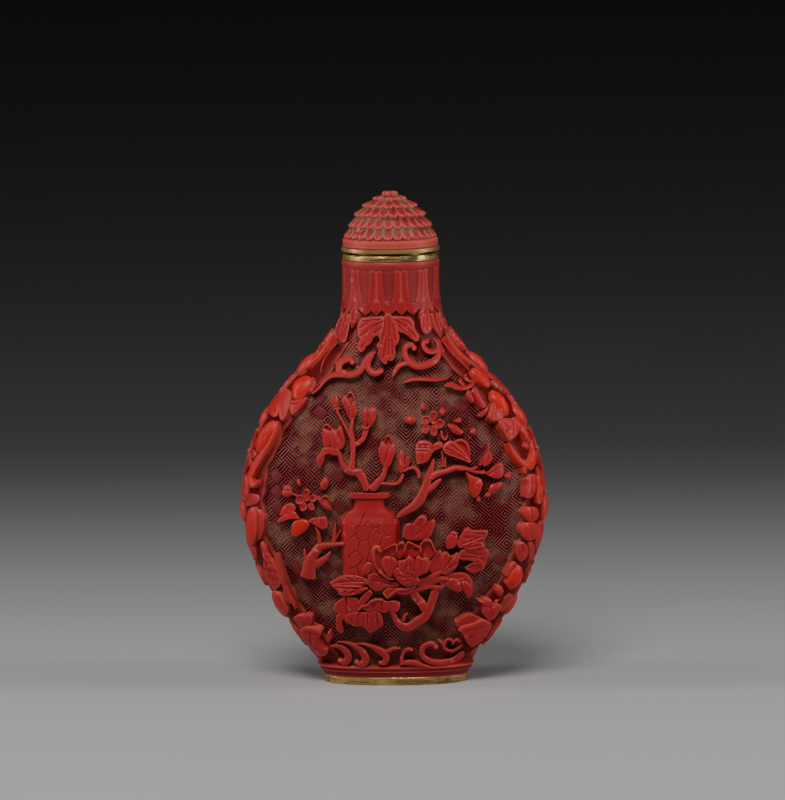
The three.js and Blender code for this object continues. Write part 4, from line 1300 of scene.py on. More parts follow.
def sprig_forms(carving, lay):
    """The plum sprig on the left of the vase."""
    heart = tuple(on_face([(-13.1, 30.6)])[0])
    face = Drawn(carving, lay)
    face.limb([(-13, 17.9), (-12.9, 19.2), (-12.6, 20.6), (-11.9, 22), (-11.1, 22.9), (-10.2, 23.2),
        (-8.8, 23.4), (-7.2, 23.6)], [2.5, 2, 1.9, 1.3, 1.2, 0.8, 0.6, 0.6], height=1.4, blunt=0.02)
    face.limb([(-12, 19.9), (-11, 20.6), (-10.1, 21.3), (-9.3, 22.3)], [1.4, 1.1, 0.8, 0.3])
    face.limb([(-13.2, 20.4), (-13.4, 21.5), (-13.55, 22.6)], [0.9, 0.6, 0.3], height=1.25)
    face.limb([(-11, 22.7), (-11.1, 24.1), (-11.4, 25.4), (-11.9, 26.3)], [0.9, 0.7, 0.6, 0.3], height=1.25)
    face.limb([(-8.9, 23.6), (-8.7, 25.4), (-8.5, 27.2)], [0.8, 0.55, 0.2], height=1.25)
    face.limb([(-8.6, 24.3), (-7.8, 25.8)], [0.4, 0.3], height=1.1)
    face.limb([(-15.8, 32), (-15.3, 31.6), (-14.6, 31.35), (-13.8, 31.4)], [0.2, 0.25, 0.25, 0.2],
        height=1.15)
    face.plate([(-17.5, 28.3), (-17.2, 29.1), (-16.7, 29.7), (-16, 30.1), (-15.4, 29.9), (-15, 29.2),
        (-15.4, 28.5), (-16.4, 28.1)], height=1.35, tint=0.2)
    face.plate([(-17.8, 27.4), (-17.3, 27.9), (-16.6, 28.3), (-15.9, 28.4), (-15.3, 28.8), (-14.9, 28.6),
        (-14.6, 28.1), (-14.3, 27.6), (-15, 27.6), (-15.7, 27.7), (-16.3, 27.5), (-17, 27.1), (-17.6, 27.1)],
        height=1.5, tint=0.3)
    face.plate([(-15.65, 25.9), (-15.6, 26.6), (-15.2, 27.1), (-14.6, 27.45), (-13.9, 27.5), (-13.3, 27.4),
        (-12.9, 27), (-12.8, 26.5), (-13.1, 25.9), (-13.6, 25.5), (-14.1, 25.1), (-14.7, 24.75),
        (-15.2, 24.8), (-15.6, 25.2)], height=1.6, bulge=0.2, tint=0.6, depth=0.05,
        cuts=[[(-15, 26.9), (-15.1, 25.2)], [(-14.5, 27.1), (-14.6, 25.1)], [(-14, 27.2), (-14, 25.4)]])
    face.plate([(-12.8, 27.3), (-12.2, 27.7), (-11.5, 27.75), (-10.8, 27.9), (-10.2, 27.9), (-9.9, 27.5),
        (-9.8, 26.9), (-9.9, 26.3), (-10.3, 26), (-10.9, 26), (-11.5, 26.3), (-12, 26.6), (-12.4, 26.9)],
        height=1.5, tint=0.15, cuts=[[(-11.5, 27.6), (-10.8, 27.1), (-10.4, 26.3)]])
    for outline in (
            [(-13.9, 31.3), (-13.6, 32.1), (-13.1, 32.4), (-12.7, 32), (-12.7, 31.3), (-13.1, 30.9)],
            [(-14.95, 30.7), (-14.6, 31.3), (-13.9, 31.35), (-13.2, 31), (-13.5, 30.4), (-14.1, 30),
             (-14.7, 30.1)],
            [(-12.9, 31), (-12.3, 31.4), (-11.8, 31.3), (-11.6, 30.8), (-12, 30.3), (-12.7, 30.4)],
            [(-14.3, 29.8), (-13.6, 30.3), (-13.2, 29.9), (-13.2, 29.3), (-13.7, 28.9), (-14.2, 29.1)],
            [(-13, 30), (-12.4, 30.2), (-12, 29.8), (-11.95, 29.2), (-12.5, 29), (-12.95, 29.4)]):
        face.plate(outline, height=1.3, cup=0.35, root=heart)
    boss(carving, lay, *heart, 0.6, 0.6, height=1.3, segments=12, rings=8)
    for outline, cut in (
            ([(-17.1, 31.8), (-16.9, 32.8), (-16.2, 33), (-15.7, 32.6), (-15.5, 31.9), (-15.7, 31.3),
             (-16.3, 31.1), (-17, 31.3)], [(-16.8, 32.2), (-15.9, 32.2)]),
            ([(-14.85, 33.9), (-14.4, 34), (-14.1, 33.5), (-14.05, 32.8), (-14.5, 32.9), (-14.7, 33.4)], []),
            ([(-11.1, 33.1), (-10.8, 33.8), (-10.3, 34.3), (-9.9, 34.1), (-9.6, 33.5), (-9.8, 32.8),
             (-10.3, 32.3), (-10.9, 32.4)], [(-10.6, 33.5), (-10.2, 32.7)])):
        face.plate(outline, height=1.3, bulge=0.3, cuts=[cut] if cut else (), segments=44, rings=7)
    face.plate([(-10.9, 30.9), (-10.5, 31.3), (-10, 31.3), (-9.6, 30.9), (-9.2, 30.3), (-9.4, 29.8),
        (-10.2, 30.2)], height=1.3, cup=0.6)
    face.plate([(-11.7, 31.1), (-11.2, 31.1), (-10.6, 30.5), (-9.8, 30), (-9.3, 29.6), (-9.2, 29),
        (-9.9, 29.1), (-10.6, 29.6), (-11.2, 30.2)], height=1.45, bulge=0.2)


# Low beds that join the petals and leaves of each cluster, in (u, v) places.
PEONY_BEDS = (
    [(-4.2, 17.2), (-3.6, 20.4), (-1.6, 22.8), (0.6, 23.2), (2.6, 23.6), (5.8, 24), (8, 22), (10.3, 21.5),
     (10.2, 19.7), (8.2, 17.6), (4, 16.2), (0.2, 15.7), (-2.6, 16.5)],
    [(-8.7, 12.3), (-8.9, 13.5), (-7.3, 14.7), (-4.6, 15), (-2.2, 14.1), (0.8, 13.9), (0.6, 13.1),
     (-1.7, 12.2), (-1.9, 10.4), (-3.2, 9.7), (-7.2, 10.6)],
    [(11.1, 23.4), (11.5, 21.3), (14.6, 20.6), (14.9, 25), (12.5, 25.6), (11.4, 24.7)],
    [(8.6, 17.2), (12.3, 15.4), (12.5, 17.1), (11, 18.5), (9, 18.1)],
)
PEONY_LIFT = 0.35


def peony_forms(carving, lay):
    """The peony, the leaves round it and the broad ribbons under it, all raised a little."""
    lay = raised(lay, PEONY_LIFT)
    for bed in PEONY_BEDS:
        plate(carving, lay, bed, height=0.45, segments=60, rings=6)
    face = Drawn(carving, lay)
    # the broad leaves behind and beside the flower
    face.plate([(2.2, 24.9), (2.3, 26), (2.7, 26.7), (3.3, 26.9), (3.8, 26.8), (4.2, 27.4), (4.8, 28),
        (5.4, 28.1), (5.9, 27.7), (6.1, 27.1), (6.6, 27.2), (7.2, 27.4), (7.4, 26.7), (7.1, 25.8),
        (6.6, 24.8), (5.6, 24.3), (4.2, 24.1), (3, 24.3)], height=1.3, segments=100,
        cuts=[[(3.6, 26.6), (3.6, 24.8)], [(6.2, 27), (5.4, 26), (4.4, 25)], [(5.2, 27.6), (4.6, 26.4)]])
    face.plate([(11.3, 23), (10.9, 23.7), (11.3, 24.7), (11.7, 25.4), (12.1, 26), (12.6, 26.1), (13, 25.7),
        (14, 25.7), (15, 25.7), (15.8, 25.6), (15.7, 24.9), (15.2, 24.4), (14.3, 24), (13.3, 23.6),
        (12.3, 23.1)], height=1.5, segments=100, cuts=[[(12.8, 25.5), (15.4, 25.2)],
        [(11.9, 23.6), (15.1, 24.8)], [(12, 24.6), (13.6, 24.8)]])
    face.plate([(11.1, 21.4), (11.2, 22.1), (11.7, 22.6), (12.5, 22.8), (13.4, 22.8), (14.4, 22.7),
        (15.2, 22.7), (15.8, 22.6), (15.9, 21.8), (15.7, 20.9), (15.4, 20.1), (14.6, 20.2), (13.8, 20.6),
        (12.8, 20.9), (11.8, 20.9)], height=1.4, segments=100,
        cuts=[[(11.6, 21.5), (14.2, 21.4), (15.2, 20.8)], [(12.4, 22.2), (14.6, 21.8)]])
    face.plate([(12, 23), (13, 23.4), (13.8, 23.9), (14.7, 23.9), (15.2, 23.5), (15.2, 23), (14.5, 22.8),
        (13.6, 22.6), (12.7, 22.7)], height=1.6, cuts=[[(12.8, 23), (14.8, 23.4)]])
    face.plate([(12.1, 19.8), (12.8, 20.2), (13.5, 20.5), (14.3, 20.4), (15, 20.3), (15.3, 19.8),
        (14.8, 19.3), (14.1, 19), (13.4, 18.8), (12.8, 19.1)], height=1.45, cup=0.3)
    face.plate([(9.05, 24.2), (9.4, 24.9), (9.8, 25.3), (10.3, 25.5), (10.8, 25.2), (11, 24.6), (10.9, 23.8),
        (10.6, 23.2), (10, 22.8), (9.3, 22.9)], height=1.5, bulge=0.1,
        cuts=[[(9.5, 24.9), (10, 25.2), (10.6, 24.9)]])
    face.plate([(8.1, 17.2), (8.9, 18.4), (10.2, 18.8), (11.6, 18.9), (12.6, 18.5), (13.2, 17.6),
        (13.3, 16.8), (12, 16.9), (10.8, 17.2), (9.4, 16.8)], height=1.25)
    face.plate([(8.4, 21.9), (8.8, 22.25), (9.4, 22.1), (9.9, 21.7), (10.4, 21.9), (10.95, 22.2),
        (11.2, 21.4), (11.1, 20.6), (10.8, 19.8), (10.3, 19.2), (9.6, 18.8), (8.7, 18.6), (8.3, 19.4),
        (8.4, 20.6)], height=1.5, cuts=[[(8.8, 19.2), (10.7, 20.4)], [(9, 19.8), (10, 21.4)],
        [(8.9, 20.8), (9.3, 21.8)]])
    face.plate([(9.2, 17.2), (9.8, 17.9), (10.6, 17.95), (11.2, 17.5), (11.6, 16.8), (11.7, 16),
        (11.1, 15.8), (10.3, 16), (9.7, 16.4)], height=1.6, bulge=0.15)
    face.plate([(11.7, 17.4), (12.2, 17.6), (12.9, 17.1), (13.3, 16.5), (13.35, 15.7), (13.1, 15.1),
        (12.7, 14.9), (12.1, 15.5), (11.8, 16.3)], height=1.6, bulge=0.15)
    # the leaf on the left and the one under it
    face.plate([(-9.5, 17.3), (-8.6, 17.8), (-7.8, 18.2), (-6.8, 18.5), (-5.6, 18.5), (-4.6, 18.3),
        (-3.6, 17.9), (-3.3, 17.2), (-4.4, 16.8), (-6, 16.7), (-7.6, 16.7), (-8.8, 16.9)], height=1.5,
        cuts=[[(-8.2, 17.3), (-6.4, 17.5), (-4, 17.5)], [(-7, 18.2), (-5.8, 17.7)],
        [(-5.6, 18.3), (-4.6, 17.8)]])
    face.plate([(-9.2, 17), (-8.4, 17), (-7.2, 16.9), (-5.8, 16.9), (-4.4, 16.8), (-3.3, 16.4), (-3.9, 16),
        (-4.8, 15.5), (-6, 15.25), (-7, 15.2), (-7.9, 15.4), (-8.2, 15.9), (-8.7, 16.4)], height=1.65,
        cuts=[[(-8.2, 16.5), (-6.4, 16.3), (-4, 16.5)], [(-6.4, 15.5), (-5, 16.3)],
        [(-7.4, 15.7), (-6.4, 16.2)]])
    face.plate([(-8.8, 13.7), (-8, 14.4), (-7.2, 14.9), (-6.2, 15), (-5.2, 14.8), (-4.7, 14.2), (-4.6, 13.4),
        (-4.9, 12.8), (-5.4, 12.3), (-6.4, 12.3), (-7.2, 12.1), (-8, 12.3), (-8.7, 12.7)], height=1.3,
        depth=0.3, cuts=[[(-6.85, 14.8), (-6.8, 12.4)]])
    face.plate([(-4.8, 14.4), (-4.3, 15.1), (-3.7, 15.7), (-3.1, 16.1), (-2.6, 15.6), (-3, 14.9),
        (-3.6, 14.2), (-4, 13.7), (-4.6, 13.6)], height=1.5)
    # the hanging petals
    face.plate([(-8.3, 12), (-7.5, 12.6), (-6.9, 12.1), (-7.3, 11.4), (-7.5, 10.6), (-7.3, 9.9), (-7.3, 9.2),
        (-7.9, 9.2), (-8.3, 9.7), (-8.5, 10.4), (-8.5, 11.2)], height=1.3)
    face.plate([(-7.1, 11.9), (-6.2, 12.4), (-5, 12.5), (-3.7, 12.3), (-3.6, 11.2), (-3.9, 10.4),
        (-4.6, 10.3), (-5.4, 10.2), (-6.2, 10.5), (-6.9, 10.9)], height=1.35,
        cuts=[[(-5.9, 12), (-5.9, 10.6)], [(-4.9, 12.2), (-4.9, 10.5)]])
    face.plate([(-3.9, 12.4), (-3, 12.9), (-2.1, 12.8), (-1.3, 12.2), (-0.95, 11.3), (-0.95, 10.4),
        (-1.6, 9.9), (-2.4, 9.35), (-3, 9.2), (-3.7, 9.7), (-4.05, 10.4), (-3.9, 11.4)], height=1.5,
        bulge=0.15, cuts=[[(-3.45, 12.4), (-3.3, 10.4)], [(-2, 12.3), (-1.8, 10.4)]])
    face.plate([(-4.2, 13.2), (-3.4, 13.7), (-2.4, 14.3), (-1.4, 14.5), (-0.4, 14.3), (0.8, 14.4), (1.7, 14),
        (1.7, 13.1), (1.2, 12.5), (0.2, 12.7), (-0.6, 12.4), (-1.6, 12.6), (-2.6, 12.9), (-3.4, 12.6)],
        height=1.45, cuts=[[(-2.4, 14), (-2.6, 13.1)], [(0.2, 14), (0.2, 12.9)], [(-1.2, 14.2), (-1, 12.7)]])
    face.limb([(-4.9, 12.8), (-4.2, 13.5), (-3.4, 13.7), (-2.7, 14.4), (-1.6, 14.6), (-0.9, 14.5)],
        [0.4, 0.5, 0.45, 0.45, 0.3], height=1.7)
    # the broad ribbons under the flower
    face.limb([(0, 13.2), (0.7, 12.1), (1.3, 10.9), (2, 10.2), (3.2, 10.1), (4.5, 10.9), (5.6, 11.6),
        (6.3, 12.7), (6.7, 13.9), (7.2, 15.2), (7.6, 16.4)],
        [0.7, 0.7, 0.9, 1.2, 1.3, 1.3, 1.3, 1.25, 1.2, 1.2, 1.2], height=1.3, crown=0.12)
    face.limb([(3.8, 16.3), (4.3, 15), (5.1, 14), (5.9, 12.8), (6.1, 12.2)], [1.3, 1.2, 1.2, 1.3, 1],
        height=1.3, crown=0.12)
    face.limb([(2.3, 11), (2.5, 11.8), (3, 12.3)], [0.6, 0.55, 0.3], height=1.15)
    # the outer petals, low and ruffled
    face.plate([(-3.4, 17.5), (-3.3, 18.4), (-2.7, 18.8), (-2, 18.6), (-1.2, 18.2), (-0.3, 17.8),
        (0.6, 17.4), (1.6, 17.1), (1.4, 16.6), (0.4, 16.4), (-0.5, 16.5), (-1.3, 16), (-2.3, 16),
        (-3, 16.5)], height=1.55, cup=0.35, cuts=[[(-2.2, 17.6), (0.9, 16.9)]])
    face.plate([(-4.2, 18.8), (-4.1, 19.7), (-3.8, 20.3), (-3.4, 20.6), (-2.8, 20.5), (-2.7, 19.8),
        (-3, 19.1), (-3.4, 18.7)], height=1.75, bulge=0.1)
    face.plate([(-1, 15.6), (-0.6, 14.9), (-0.1, 14.7), (0.5, 15.1), (1.2, 15.4), (2.4, 15.4), (3.4, 15.6),
        (4.1, 16.3), (4.6, 17.2), (3.6, 17), (2.4, 16.6), (1, 16.4), (-0.2, 16.4)], height=1.5, segments=90)
    face.limb([(4.3, 16.2), (5.2, 16.4), (6.2, 16.7), (7.2, 16.6), (8.2, 16.4), (8.9, 16.9)],
        [0.8, 0.9, 0.8, 0.8, 0.7, 0.4], height=1.45)
    face.limb([(4.5, 17), (5.8, 17.2), (7, 17.5), (8.2, 17.9), (9.6, 17.8)], [0.8, 1, 1, 0.9, 0.5],
        height=1.5)
    face.limb([(4.8, 17.7), (5.9, 17.8), (6.8, 18.2), (7.8, 18.8), (8.4, 19.2)], [0.7, 0.9, 1, 0.9, 0.5],
        height=1.65)
    face.limb([(-0.9, 15.7), (-0.3, 14.95), (0.5, 15.5), (1.5, 16.1), (2.8, 16.2), (3.8, 16.6), (4.6, 17.4)],
        [0.3, 0.4, 0.4, 0.45, 0.45, 0.4, 0.3], height=1.75)
    face.plate([(6.5, 20.6), (7.2, 21.4), (7.9, 22.3), (8.4, 22.4), (8.55, 21.4), (8.5, 20.2), (8.3, 19.2),
        (7.6, 18.9), (6.8, 18.9), (6.4, 19.6)], height=1.65, cup=0.25)
    # the cup of petals, hollow with standing rims
    face.plate([(5, 23.6), (5.5, 24.25), (6.1, 24.45), (6.7, 24.1), (7.15, 23.4), (7.45, 22.6), (7.4, 21.9),
        (6.8, 21.2), (5.6, 21), (5, 22)], height=1.95, cup=0.9)
    face.plate([(-1.2, 22.6), (-0.4, 23.1), (0.3, 23.35), (0.8, 23.6), (1.3, 23.5), (1.4, 22.4), (1, 21.6),
        (0, 21.3), (-0.9, 21.4), (-1.3, 22)], height=1.85, cup=0.8)
    face.plate([(1, 22.2), (1.3, 23.2), (1.7, 23.75), (2.4, 23.8), (2.6, 23.1), (2.4, 22.1), (2, 21.3),
        (1.3, 21.3)], height=1.95, cup=0.7)
    face.plate([(2.3, 22.5), (2.6, 23.4), (3, 23.95), (3.7, 23.8), (4.2, 23.5), (4.8, 23.2), (5.2, 22.6),
        (5, 21.6), (3.8, 21.1), (2.8, 21.2), (2.3, 21.8)], height=2, cup=0.7,
        cuts=[[(3.2, 22.8), (4.6, 22.6)]])
    face.limb([(-1.4, 22.4), (-1.9, 23.1), (-2.35, 22.6), (-2.3, 21.2), (-1.95, 19.9), (-1.2, 18.9),
        (-0.3, 18.2), (0.8, 17.9)], [0.6, 0.7, 0.6, 0.45, 0.45, 0.45, 0.4, 0.3], height=1.95)
    # the heart
    face.plate([(-1.15, 20.6), (-0.9, 21.4), (-0.3, 21.65), (0.4, 21.5), (0.9, 21.4), (1.4, 20.8), (1.4, 20),
        (0.8, 19.4), (0.5, 18.5), (0, 18.4), (-0.5, 19), (-0.9, 19.8)], height=2.15, bulge=0.1,
        cuts=[[(0.5, 21.3), (0.55, 20)]])
    face.plate([(1.55, 20), (1.6, 20.9), (2.4, 21.05), (2.9, 21.3), (3.2, 21.7), (3.7, 21.4), (4.15, 21.05),
        (4.5, 21.5), (4.9, 21.75), (5.4, 21.4), (6.1, 21.45), (6.5, 20.9), (6.45, 20), (6.1, 19.1),
        (5.3, 18.7), (4.5, 18.4), (3.5, 18.8), (2.4, 19.2)], height=2.45, bulge=0.1, segments=110, rings=11,
        cuts=[[(2.9, 21), (2.8, 19.6)], [(4.2, 20.9), (4.1, 19.2)], [(3.5, 20.7), (3.5, 19.4)],
        [(5.2, 21), (5.1, 19.4)]])
    face.plate([(0.6, 19.3), (1.4, 19.8), (2.4, 19.6), (3.4, 19.4), (4.2, 19.1), (4.6, 18.3), (4.9, 17.6),
        (4.3, 17.1), (3.4, 16.8), (2.5, 16.95), (1.6, 17.5), (1, 18.3)], height=2.3, bulge=0.3,
        cuts=[[(1.7, 18.6), (2.6, 18.2), (3.4, 18.4)], [(2.2, 17.6), (3.2, 17.7)]])


def back_forms(carving, lay):
    """The plainer back: a flowering branch across the panel."""
    c, p = carving, lay
    stem(c, p, [(-9.4, 12.4), (-5, 17), (0, 23), (3.5, 29), (3.2, 36), (2.6, 41.5)], 2.3, 0.9, height=1.35)
    stem(c, p, [(-1, 22), (-4.6, 26.4), (-9.4, 31.4)], 1.4, 0.7)
    stem(c, p, [(3.6, 29.4), (7, 33.2), (11.6, 35.6)], 1.2, 0.7)
    stem(c, p, [(1.6, 25.8), (6.6, 25.2), (10.6, 26.8)], 1.0, 0.5)
    for u, v, r, turn in ((-10.2, 33.8, 3.1, 80), (12.2, 37.2, 2.9, 95), (2.2, 43.8, 2.9, 88),
                          (12.2, 27.4, 2.3, 70)):
        blossom(c, p, u, v, r, turn, 1.35)
    for u, v, lean in ((-6.4, 37.6, 30), (6.8, 45.6, -30), (-3.0, 45.8, 25), (15.4, 33.8, -60),
                       (-14.4, 30.6, 60)):
        boss(c, p, u, v, 1.6, 2.3, lean=lean, height=1.2, cleft=0.2)
    for k in range(8):
        angle = 2 * PI * k / 8
        petal(c, p, 6.4 + 0.8 * math.cos(angle), 17.6 + 0.8 * math.sin(angle),
              6.4 + 4.4 * math.cos(angle), 17.6 + 4.2 * math.sin(angle), 3.5, height=1.4, cup=0.4,
              waves=0.07, furrows=0.04)
    for k in range(5):
        angle = 2 * PI * (k + 0.3) / 5
        petal(c, p, 6.4, 17.6, 6.4 + 2.7 * math.cos(angle), 17.6 + 2.6 * math.sin(angle), 2.7,
              height=1.8, cup=0.4, waves=0.07, furrows=0.04)
    boss(c, p, 6.4, 17.6, 1.9, 1.9, height=1.9, segments=12, rings=8)
    leaf(c, p, 4.0, 34.6, -1.8, 37.6, 3.1, bend=0.12)
    leaf(c, p, -3.6, 19.4, -11.4, 20.6, 3.5, bend=-0.1, lobes=0.06)
    leaf(c, p, -2.4, 25.4, -9.0, 24.6, 3.0, bend=-0.1)
    leaf(c, p, 10.6, 15.8, 15.4, 12.6, 3.2, bend=0.1, lobes=0.06)
    leaf(c, p, 2.6, 15.2, -3.4, 12.2, 3.2, bend=-0.1, lobes=0.06)
    leaf(c, p, 9.6, 20.6, 15.2, 22.6, 3.0, bend=0.1, lobes=0.06)
    leaf(c, p, 6.0, 31.6, 8.6, 28.2, 2.2, bend=0.1)


def lower_scrolls(carving, lay):
    """The scrolls under the picture."""
    face = Drawn(carving, lay)
    for places, widths, ball in (
            ([(-9.4, 6.9), (-8.2, 6.9), (-7.3, 6.5), (-6.7, 5.7), (-6.6, 4.9), (-7.1, 4.3), (-7.8, 4.5)],
             [0.3, 0.6, 0.9, 1, 1.1, 1.1, 0.9], 1.2),
            ([(-8.3, 7.6), (-6.9, 7.5), (-5.6, 7), (-4.5, 6.2), (-3.8, 5.2), (-3.9, 4.3), (-4.6, 3.9),
             (-5.2, 4.3)], [0.2, 0.4, 0.6, 0.9, 1.1, 1.2, 1.1, 0.8], 1),
            ([(-5.2, 7.3), (-3.9, 7.2), (-2.7, 6.8), (-1.6, 6.2), (-0.8, 5.6), (-0.5, 4.9), (-0.8, 4.2),
             (-1.3, 4.2)], [0.2, 0.35, 0.5, 0.8, 1.1, 1.15, 1, 0.7], 0.9),
            ([(-0.9, 5.8), (-0.1, 6.1), (0.7, 6.5), (1.8, 6.6)], [0.7, 0.6, 0.5, 0.2], 0),
            ([(2, 4.2), (2, 5), (2.4, 5.9), (3.1, 6.4), (3.9, 6.2)], [0.7, 0.5, 0.5, 0.6, 0.4], 0),
            ([(1.7, 4), (2.8, 4.2), (4, 4.1), (5.3, 3.8), (6.7, 3.55)], [0.4, 0.9, 0.9, 0.6, 0.3], 0),
            ([(11.9, 6.2), (11.2, 5.2), (10, 4.5), (8.6, 4.2), (7.2, 4.3), (6, 4.7), (5.3, 5.5), (5.4, 6.5),
             (6, 7.1), (6.9, 7.2), (7.5, 6.7)], [0.9, 1.1, 1.1, 1.1, 1, 0.9, 0.85, 0.8, 0.8, 0.8, 0.8], 1),
            ([(7.8, 8), (8.5, 7.3), (8.9, 6.6), (9.6, 6.2), (10.4, 6.2), (11.1, 6.7), (11.8, 7.3)],
             [0.3, 0.5, 0.5, 0.5, 0.5, 0.5, 0.4], 0),
            ([(8.9, 7), (9, 7.7), (9.6, 8), (10.1, 7.7), (10.2, 7.1)], [0.3, 0.4, 0.4, 0.4, 0.3], 0),
            ([(10.3, 7.5), (10.9, 7.9), (11.6, 7.6)], [0.3, 0.45, 0.3], 0)):
        face.limb(places, widths, height=1.35, ball=ball)


def upper_scrolls(carving, lay):
    """The scrolls over the picture, either side of the hanging leaf."""
    for places in ([(8.8, 56.6), (10.7, 53.9), (13.3, 51.5), (16.4, 49.2)],
                   [(7.9, 55.2), (9.8, 52.5), (12.3, 50.4), (15.2, 48.4)],
                   [(-8.6, 56.6), (-10.2, 54), (-12.4, 51.6), (-14.6, 50)]):
        limb(carving, lay, places, [0.35, 0.5, 0.5, 0.35], height=0.85)
    face = Drawn(carving, lay)
    for places, widths, ball in (
            ([(-12.4, 47.9), (-11.3, 48.8), (-10.4, 49.9), (-9.4, 50.7), (-8.3, 51), (-7.3, 50.9)],
             [0.3, 0.4, 0.5, 0.6, 0.8, 0.8], 0),
            ([(-8.8, 53), (-8.2, 52.8), (-7.7, 52.3)], [0.2, 0.4, 0.6], 0),
            ([(-2.1, 54.7), (-3, 54), (-3.8, 53), (-4.4, 51.9), (-5.2, 51.2), (-6.3, 50.9), (-7.4, 51.2),
             (-8, 51.9), (-7.9, 52.7), (-7.2, 53.3), (-6.4, 53.5), (-5.9, 53.1)],
             [0.5, 0.9, 0.9, 0.9, 0.9, 0.9, 1, 1, 1, 0.9, 0.9], 1.1),
            ([(-2.4, 54.4), (-3.1, 53.5), (-3.4, 52.5), (-3, 51.6), (-2.2, 51.2), (-1.3, 51.5)],
             [0.6, 0.9, 0.95, 0.95, 0.9, 0.9], 1.05),
            ([(0.6, 50.7), (1, 51.6), (1.6, 52.4), (2.6, 52.8), (3.6, 52.9)], [0.4, 0.6, 0.8, 0.7, 0.5], 0),
            ([(7.1, 56.9), (7.8, 56.3), (8.1, 55.3), (8, 54.3), (7.4, 53.4), (6.4, 52.7), (5.3, 52.4),
             (4.2, 52.5), (3.2, 53.1), (2.6, 54), (2.5, 54.9), (2.9, 55.7), (3.6, 55.8), (4, 55.3)],
             [0.3, 0.6, 0.8, 0.9, 1, 1, 1, 0.95, 0.9, 0.9, 0.85, 0.8, 0.8, 0.7], 0.9),
            ([(7.8, 55), (7, 54.7), (6.2, 54.8), (5.6, 55.4), (5.5, 56.2), (6, 56.4)],
             [0.5, 0.7, 0.6, 0.6, 0.6, 0.6], 0.9),
            ([(2.4, 49.7), (3.4, 50.1), (4.6, 50.3), (6.2, 50.2), (7.8, 50.2), (9.1, 50.4), (10.1, 51)],
             [0.3, 0.55, 0.5, 0.5, 0.45, 0.3, 0.2], 0),
            ([(8.8, 49.3), (9.8, 49.3), (10.8, 49), (11.8, 48.8), (12.8, 49.1), (13.5, 49.7), (13.6, 50.6)],
             [0.5, 0.7, 0.7, 0.65, 0.6, 0.6, 0.4], 0),
            ([(12.2, 51.2), (12.3, 50.4), (12.9, 50), (13.6, 50.1)], [0.4, 0.4, 0.4, 0.3], 0),
            ([(12.1, 49.2), (11.6, 49.6), (11.4, 50)], [0.3, 0.4, 0.5], 0.75),
            ([(8.4, 56.8), (10, 54.9), (11.7, 53.2), (13, 51.7)], [0.2, 0.35, 0.35, 0.3], 0),
            ([(8.9, 57.2), (10.6, 55.3), (12.2, 53.8)], [0.2, 0.3, 0.3], 0),
            ([(-8.3, 56.2), (-9.3, 55.1), (-10.2, 53.9), (-10.8, 52.5), (-10.9, 51.2)],
             [0.2, 0.3, 0.3, 0.3, 0.2], 0)):
        face.limb(places, widths, height=1.5, ball=ball)


